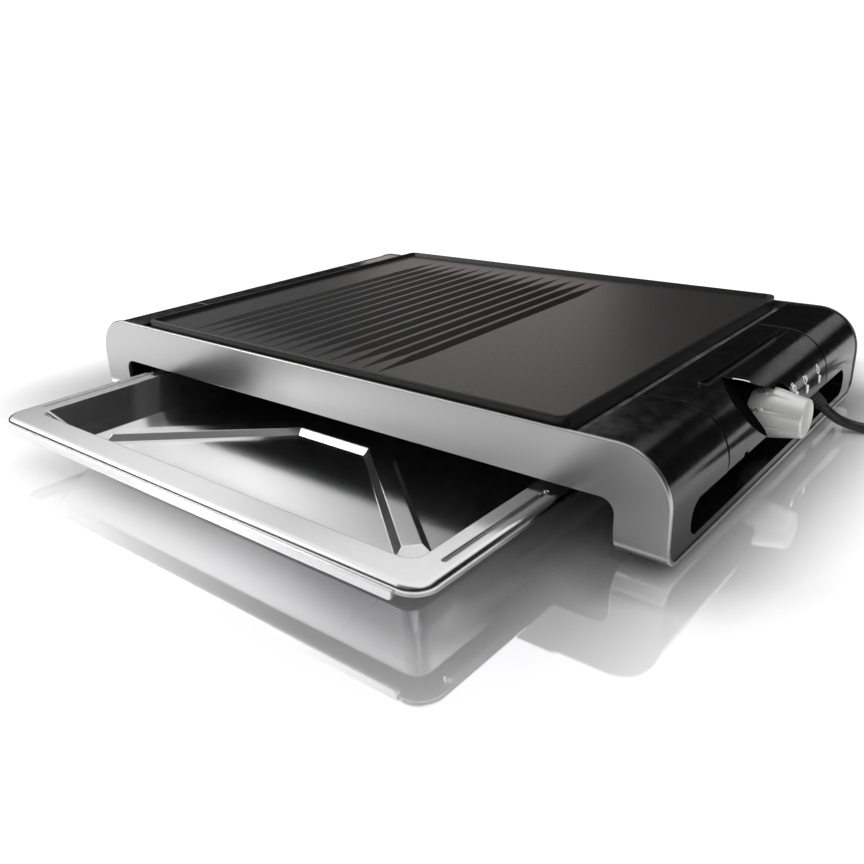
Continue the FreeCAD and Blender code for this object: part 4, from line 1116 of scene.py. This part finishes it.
def row_of_copies() -> Repeat:
    """A tree that sets copies along a straight line, square to it and smaller from one to the next.

    Returns:
        The tree.
    """
    tree = Repeat("row_of_copies")
    count = tree.ask("Count", "Int")
    start, step = tree.ask("Start", "Vector"), tree.ask("Step", "Vector")
    first, change = tree.ask("First Size"), tree.ask("Size Change")
    line = tree.node("GeometryNodeMeshLine", Count=count, Start_Location=start, Offset=step)
    number = tree.node("GeometryNodeInputIndex").outputs[0]
    size = tree.apply("ADD", first, tree.product(number, change))
    turn = tree.node("FunctionNodeAlignRotationToVector", axis="Z", Vector=step)
    tree.copy_to(line, Rotation=turn.outputs[0], Scale=size)
    return tree


@dataclass(frozen=True)
class HeatSign:
    """A small sign: where its middle lies on the unit's end, and its closed and open lines in half sizes."""

    place: Flat
    loops: tuple[tuple[Flat, ...], ...]
    strokes: tuple[tuple[Flat, ...], ...]


@dataclass
class ControlMarks:
    """White prints on the control unit: the pointer over the knob and a heat sign over each lamp."""

    pointer: tuple[Flat, Flat] = ((243.0, -36.0), (251.0, -26.4))
    pointer_steps: int = 12
    pointer_band: Ribbon = Ribbon(0.95, 0.06, 0.10)
    sign_half: Flat = (3.6, 2.9)
    sign_band: Ribbon = Ribbon(0.66, 0.06, 0.10)
    signs: tuple[HeatSign, ...] = (
        HeatSign(
            (23.8, 53.3),
            loops=(((0.35, 0.35), (0.90, -0.10), (0.80, -0.75), (0.25, -0.95), (-0.20, -0.60),
                    (-0.05, -0.05)),),
            strokes=(((-0.95, 0.95), (-0.60, 0.55), (-0.95, 0.10), (-0.55, -0.35), (-0.85, -0.75)),
                     ((-0.35, 1.05), (0.05, 0.60), (-0.30, 0.20), (0.00, -0.10)))),
        HeatSign(
            (47.6, 52.0),
            loops=(((-0.90, 0.95), (-0.90, 0.05), (-0.45, -0.95), (0.15, -0.55), (0.95, -0.15), (0.90, 0.60),
                    (0.35, 0.70), (0.05, 0.20), (-0.25, 0.75)),),
            strokes=(((0.15, -0.10), (0.50, 0.00), (0.60, 0.35)),)),
        HeatSign(
            (75.5, 52.2),
            loops=(((0.00, 1.15), (0.25, 0.50), (0.75, 0.10), (0.70, -0.60), (0.10, -1.00), (-0.50, -0.85),
                    (-0.80, -0.25), (-0.45, 0.30)),),
            strokes=(((0.10, 0.05), (0.25, -0.35), (0.00, -0.55)),)))

    def draw_sign(self, shape: bmesh.types.BMesh, skin: Skin, sign: HeatSign) -> None:
        """Add a sign's lines to the prints.

        Args:
            shape: the prints' mesh.
            skin: the cover.
            sign: the sign.
        """
        y, z = sign.place
        wide, high = self.sign_half
        for lines, closed in ((sign.loops, True), (sign.strokes, False)):
            for corners in lines:
                spots = [skin.from_right((y + across * wide) * MM, (z + up * high) * MM)
                         for across, up in smooth_line(corners, closed)]
                self.sign_band.lay(shape, spots, closed)

    def build(self, palette: Palette) -> None:
        """Lay the pointer and the signs on the cover.

        Args:
            palette: gives the finishes.
        """
        skin = Skin("control_cover")
        ink = palette.get(WHITE_INK)
        (x0, y0), (x1, y1) = self.pointer
        spots = []
        for share in (k / self.pointer_steps for k in range(self.pointer_steps + 1)):
            spots.append(skin.from_above((x0 + (x1 - x0) * share) * MM, (y0 + (y1 - y0) * share) * MM))
        bar = bmesh.new()
        self.pointer_band.lay(bar, spots)
        finish_piece("pointer_bar", bar, ink, Body.UNIT)
        signs = bmesh.new()
        for sign in self.signs:
            self.draw_sign(signs, skin, sign)
        finish_piece("heat_signs", signs, ink, Body.UNIT)


@dataclass
class Seals:
    """Painted shade: a flat black ring that reflects nothing on the collar's face behind the knob, and thin
    black bands that reflect nothing along the control unit's two seams.
    """

    # A flat ring of painted shade on the collar's face behind the knob.
    washer_x: float = 244.88
    washer_radii: Flat = (8.0, 18.7)
    washer_thickness: float = 0.35
    washer_sink: float = 0.05
    washer_segments: int = 96
    arc_centre: Flat = (239.0, 51.0)
    arc_clear: float = 200.0
    deck_start: float = 214.0
    side_end: float = 38.5
    # Thin bands of painted shade laid along both seams.
    seal_in: float = 0.75
    seal: Ribbon = Ribbon(0.85, 0.05, 0.15)
    steps: int = 12

    def washer(self) -> bmesh.types.BMesh:
        """Make the flat ring on the collar's face.

        Returns:
            Its mesh.
        """
        shape = bmesh.new()
        inner, outer = self.washer_radii
        front, back = self.washer_x + self.washer_thickness, self.washer_x - self.washer_sink
        rings = [ring_on_axis(shape, x, [radius] * self.washer_segments)
                 for x, radius in ((front, inner), (front, outer), (back, outer), (back, inner))]
        join_rings(shape, rings + rings[:1])
        return shape

    def seam_places(self, skin: Skin, y: float) -> list[Spot]:
        """Follow the unit's surface across the deck, round the shoulder and down the end.

        Args:
            skin: the unit's cover.
            y: the depth at which the seam runs, in metres.

        Returns:
            Point and normal along the way.
        """
        start, side_end = self.deck_start * MM, self.side_end * MM
        x, z = (part * MM for part in self.arc_centre)
        places = [skin.from_above(start + (x - start) * k / self.steps, y) for k in range(self.steps)]
        for k in range(self.steps + 1):
            angle = math.pi / 2 * k / self.steps
            way = Vector((math.sin(angle), 0.0, math.cos(angle)))
            places.append(skin.look(Vector((x, y, z)) + way * self.arc_clear * MM, -way))
        for k in range(1, self.steps + 1):
            places.append(skin.from_right(y, z + (side_end - z) * k / self.steps))
        return places

    def build(self, palette: Palette) -> None:
        """Set the painted-shade ring and the painted-shade bands in the seams.

        Args:
            palette: gives the finishes.
        """
        # Painted shade: this black reflects nothing; the ring and the seam bands darken the collar and the
        # seam grooves.
        rubber = palette.get(SHADE_BLACK)
        finish_piece("collar_shade_ring", self.washer(), rubber, Body.UNIT)
        skin = Skin("control_cover")
        low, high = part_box("control_cover")
        seam_shades = bmesh.new()
        # Painted shade: the black bands darken the seam grooves.
        for y in (low[1] + self.seal_in * MM, high[1] - self.seal_in * MM):
            self.seal.lay(seam_shades, self.seam_places(skin, y))
        finish_piece("unit_seam_shades", seam_shades, rubber, Body.UNIT)


@dataclass
class Knob:
    """The knob: a turned barrel with nine tapering dents, numerals 0 to 5 and a white dot at each dent."""

    profile: tuple[Flat, ...] = (
        (246.0, 14.45), (246.5, 15.05), (248.1, 15.90), (250.6, 16.70), (253.8, 17.25), (257.5, 17.30),
        (262.0, 16.70), (268.0, 15.60), (274.0, 14.50), (279.6, 13.50), (281.3, 13.05), (281.9, 12.20))
    face: tuple[Flat, ...] = ((281.9, 11.60), (281.6, 11.20), (281.6, 0.0))
    inside: tuple[Flat, ...] = (
        (278.0, 0.0), (278.0, 3.02), (246.0, 3.02), (246.0, 6.0), (275.9, 6.0), (275.9, 11.6), (253.0, 15.4),
        (246.0, 12.6))
    row_step: float = 0.4
    segments: int = 288
    sharp_angle: float = 40.0
    dents: int = 9
    first_dent: float = 28.0
    dent_start: float = 256.9
    dent_length: float = 19.5
    dent_depth: float = 0.95
    dent_half_width: float = 1.45
    dent_end_share: float = 0.35
    dent_lead: float = 0.7
    numerals: int = 6
    zero_angle: float = 24.0
    last_angle: float = 72.0
    numeral_x: float = 252.7
    numeral_height: float = 4.6
    font_cap_share: float = 0.72
    numeral_thickness: float = 0.5
    numeral_weight: float = 0.07
    numeral_rise: float = 0.07
    numeral_sink: float = 0.12
    merge_distance: float = 0.001
    dot_x: float = 256.5
    dot_radius: float = 0.62
    dot_rise: float = 0.18

    def radius_at(self, x: float) -> float:
        """Measure the barrel.

        Args:
            x: a place along its axis.

        Returns:
            Its radius there, without the dents.
        """
        line = smooth_line(self.profile, False)
        for (x0, r0), (x1, r1) in zip(line, line[1:]):
            if x <= x1:
                return r0 + (r1 - r0) * max(0.0, x - x0) / (x1 - x0)
        return line[-1][1]

    def dent_at(self, x: float, radius: float, angle: float) -> float:
        """Measure the nearest dent.

        Args:
            x: a place along the axis.
            radius: the barrel's radius there.
            angle: from the top towards the front.

        Returns:
            How deep the dent is there.
        """
        along = x - self.dent_start
        if not 0.0 < along < self.dent_length:
            return 0.0
        fade = 1.0 - along / self.dent_length
        lead = min(1.0, along / self.dent_lead)
        step = 2 * math.pi / self.dents
        off = (angle - math.radians(self.first_dent) + step / 2) % step - step / 2
        taper = self.dent_end_share + (1.0 - self.dent_end_share) * fade
        across = abs(off) * radius / (self.dent_half_width * taper)
        return self.dent_depth * fade * lead * max(0.0, 1.0 - across * across)

    def plain_rings(self, shape: bmesh.types.BMesh, line: tuple[Flat, ...]) -> list[Ring]:
        """Round rings along a line of places and radii, with one point on the axis."""
        return [ring_on_axis(shape, x, [radius] * (self.segments if radius > 0 else 1)) for x, radius in line]

    def turn_barrel(self, palette: Palette) -> None:
        """Turn the barrel with its dents and hollow back.

        Args:
            palette: gives the finishes.
        """
        shape = bmesh.new()
        first, last = self.profile[0][0], self.profile[-1][0]
        rows = round((last - first) / self.row_step)
        outer = []
        for x in (first + (last - first) * k / rows for k in range(rows + 1)):
            radius = self.radius_at(x)
            angles = (2 * math.pi * k / self.segments for k in range(self.segments))
            radii = [radius - self.dent_at(x, radius, angle) for angle in angles]
            outer.append(ring_on_axis(shape, x, radii))
        join_rings(shape, outer + self.plain_rings(shape, self.face))
        join_rings(shape, self.plain_rings(shape, self.inside) + outer[:1])
        barrel = finish_piece("knob_barrel", shape, palette.of("knob_silver"), Body.KNOB, True)
        barrel.data.set_sharp_from_angle(angle=math.radians(self.sharp_angle))
        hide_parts("control_knob")

    def write_numeral(self, shape: bmesh.types.BMesh, digit: int, angle: float) -> None:
        """Wrap one numeral on the knob, its top towards the grill.

        Args:
            shape: the numerals' mesh, to which it is added.
            digit: the number to write.
            angle: degrees from the top of the knob towards the front.
        """
        text = bpy.data.curves.new("numeral", "FONT")
        text.body = str(digit)
        text.align_x, text.align_y = "CENTER", "CENTER"
        text.size = self.numeral_height / self.font_cap_share
        text.extrude, text.offset = self.numeral_thickness, self.numeral_weight
        holder = bpy.data.objects.new("numeral", text)
        flat = bpy.data.meshes.new_from_object(holder)
        for vertex in flat.vertices:
            across, up, depth = vertex.co
            x = self.numeral_x - up
            reach = self.radius_at(x) + (self.numeral_rise if depth > 0 else -self.numeral_sink)
            turn = math.radians(angle) - across / self.radius_at(self.numeral_x)
            vertex.co = (x * MM, -math.sin(turn) * reach * MM, (KNOB_HEIGHT + math.cos(turn) * reach) * MM)
        shape.from_mesh(flat)
        bpy.data.meshes.remove(flat)
        bpy.data.objects.remove(holder)

    def set_dots(self, palette: Palette) -> None:
        """Set a flat white dot at the start of each dent.

        Args:
            palette: gives the finishes.
        """
        dot = bmesh.new()
        bmesh.ops.create_uvsphere(dot, u_segments=16, v_segments=8, radius=self.dot_radius * MM)
        bmesh.ops.scale(dot, vec=(1.0, 1.0, self.dot_rise / self.dot_radius), verts=dot.verts)
        piece = modelled("knob_dots", dot, True)
        ring_of_copies().run(
            piece, Count=self.dents, Along=self.dot_x * MM, Axis_Height=KNOB_HEIGHT * MM,
            Radius=self.radius_at(self.dot_x) * MM, First_Angle=math.radians(self.first_dent),
            Step_Angle=2 * math.pi / self.dents, Finish=palette.get(WHITE_INK))
        declare(piece, Body.KNOB)

    def build(self, palette: Palette) -> None:
        """Turn the barrel, write the numerals and set the dots.

        Args:
            palette: gives the finishes.
        """
        self.turn_barrel(palette)
        numerals = bmesh.new()
        step = (360.0 - self.last_angle + self.zero_angle) / (self.numerals - 1)
        for digit in range(self.numerals):
            self.write_numeral(numerals, digit, self.zero_angle - digit * step)
        bmesh.ops.remove_doubles(numerals, verts=numerals.verts, dist=self.merge_distance * MM)
        finish_piece("knob_numerals", numerals, palette.get(GREY_INK), Body.KNOB)
        self.set_dots(palette)


@dataclass
class ReliefRibs:
    """Rings moulded round the strain relief, which let it bend without a kink."""

    start: Point = (257.0, 82.0, 33.0)
    end: Point = (267.5, 88.5, 21.0)
    start_radius: float = 5.4
    end_radius: float = 4.5
    ribs: int = 5
    first_share: float = 0.22
    last_share: float = 0.94
    section: float = 0.8
    around: int = 40
    across: int = 10

    def unit_ring(self) -> bmesh.types.BMesh:
        """Make one ring of radius 1 round the origin.

        Returns:
            Its mesh.
        """
        shape = bmesh.new()
        thick = self.section / self.start_radius
        rings = []
        for turn in range(self.around):
            spin = 2 * math.pi * turn / self.around
            ring = []
            for part in range(self.across):
                swing = 2 * math.pi * part / self.across
                reach = 1.0 + thick * math.cos(swing)
                ring.append(shape.verts.new(
                    (reach * math.cos(spin), reach * math.sin(spin), thick * math.sin(swing))))
            rings.append(ring)
        join_rings(shape, rings + rings[:1])
        bmesh.ops.recalc_face_normals(shape, faces=shape.faces)
        return shape

    def build(self, palette: Palette) -> None:
        """Set the rings along the boot.

        Args:
            palette: gives the finishes.
        """
        piece = modelled("relief_ribs", self.unit_ring(), True)
        start, end = Vector(self.start) * MM, Vector(self.end) * MM
        stride = (self.last_share - self.first_share) / (self.ribs - 1)
        shrink = (self.end_radius - self.start_radius) * MM
        row_of_copies().run(
            piece, Count=self.ribs, Start=tuple(start + (end - start) * self.first_share),
            Step=tuple((end - start) * stride), First_Size=self.start_radius * MM + shrink * self.first_share,
            Size_Change=shrink * stride, Finish=palette.of("rubber"))
        declare(piece, Body.UNIT)


def dress_nodes(palette: Palette) -> None:
    """Give every construction node the finish that the record names for it.

    Args:
        palette: gives the finishes.
    """
    for entry in frame["record"]["subparts"]:
        dress(frame["nodes"][entry["node"]], palette.of(entry["material_slot"]))
    log.info("nodes dressed")


def main() -> None:
    """Build the studio, then the grill's own pieces in order."""
    logging.basicConfig(level=logging.INFO)
    palette = Palette()
    Studio().build()
    MainsLead().build(palette)
    dress_nodes(palette)
    for part in (ControlMarks(), Knob(), ReliefRibs(), Seals()):
        part.build(palette)


if __name__ == "__main__":
    main()
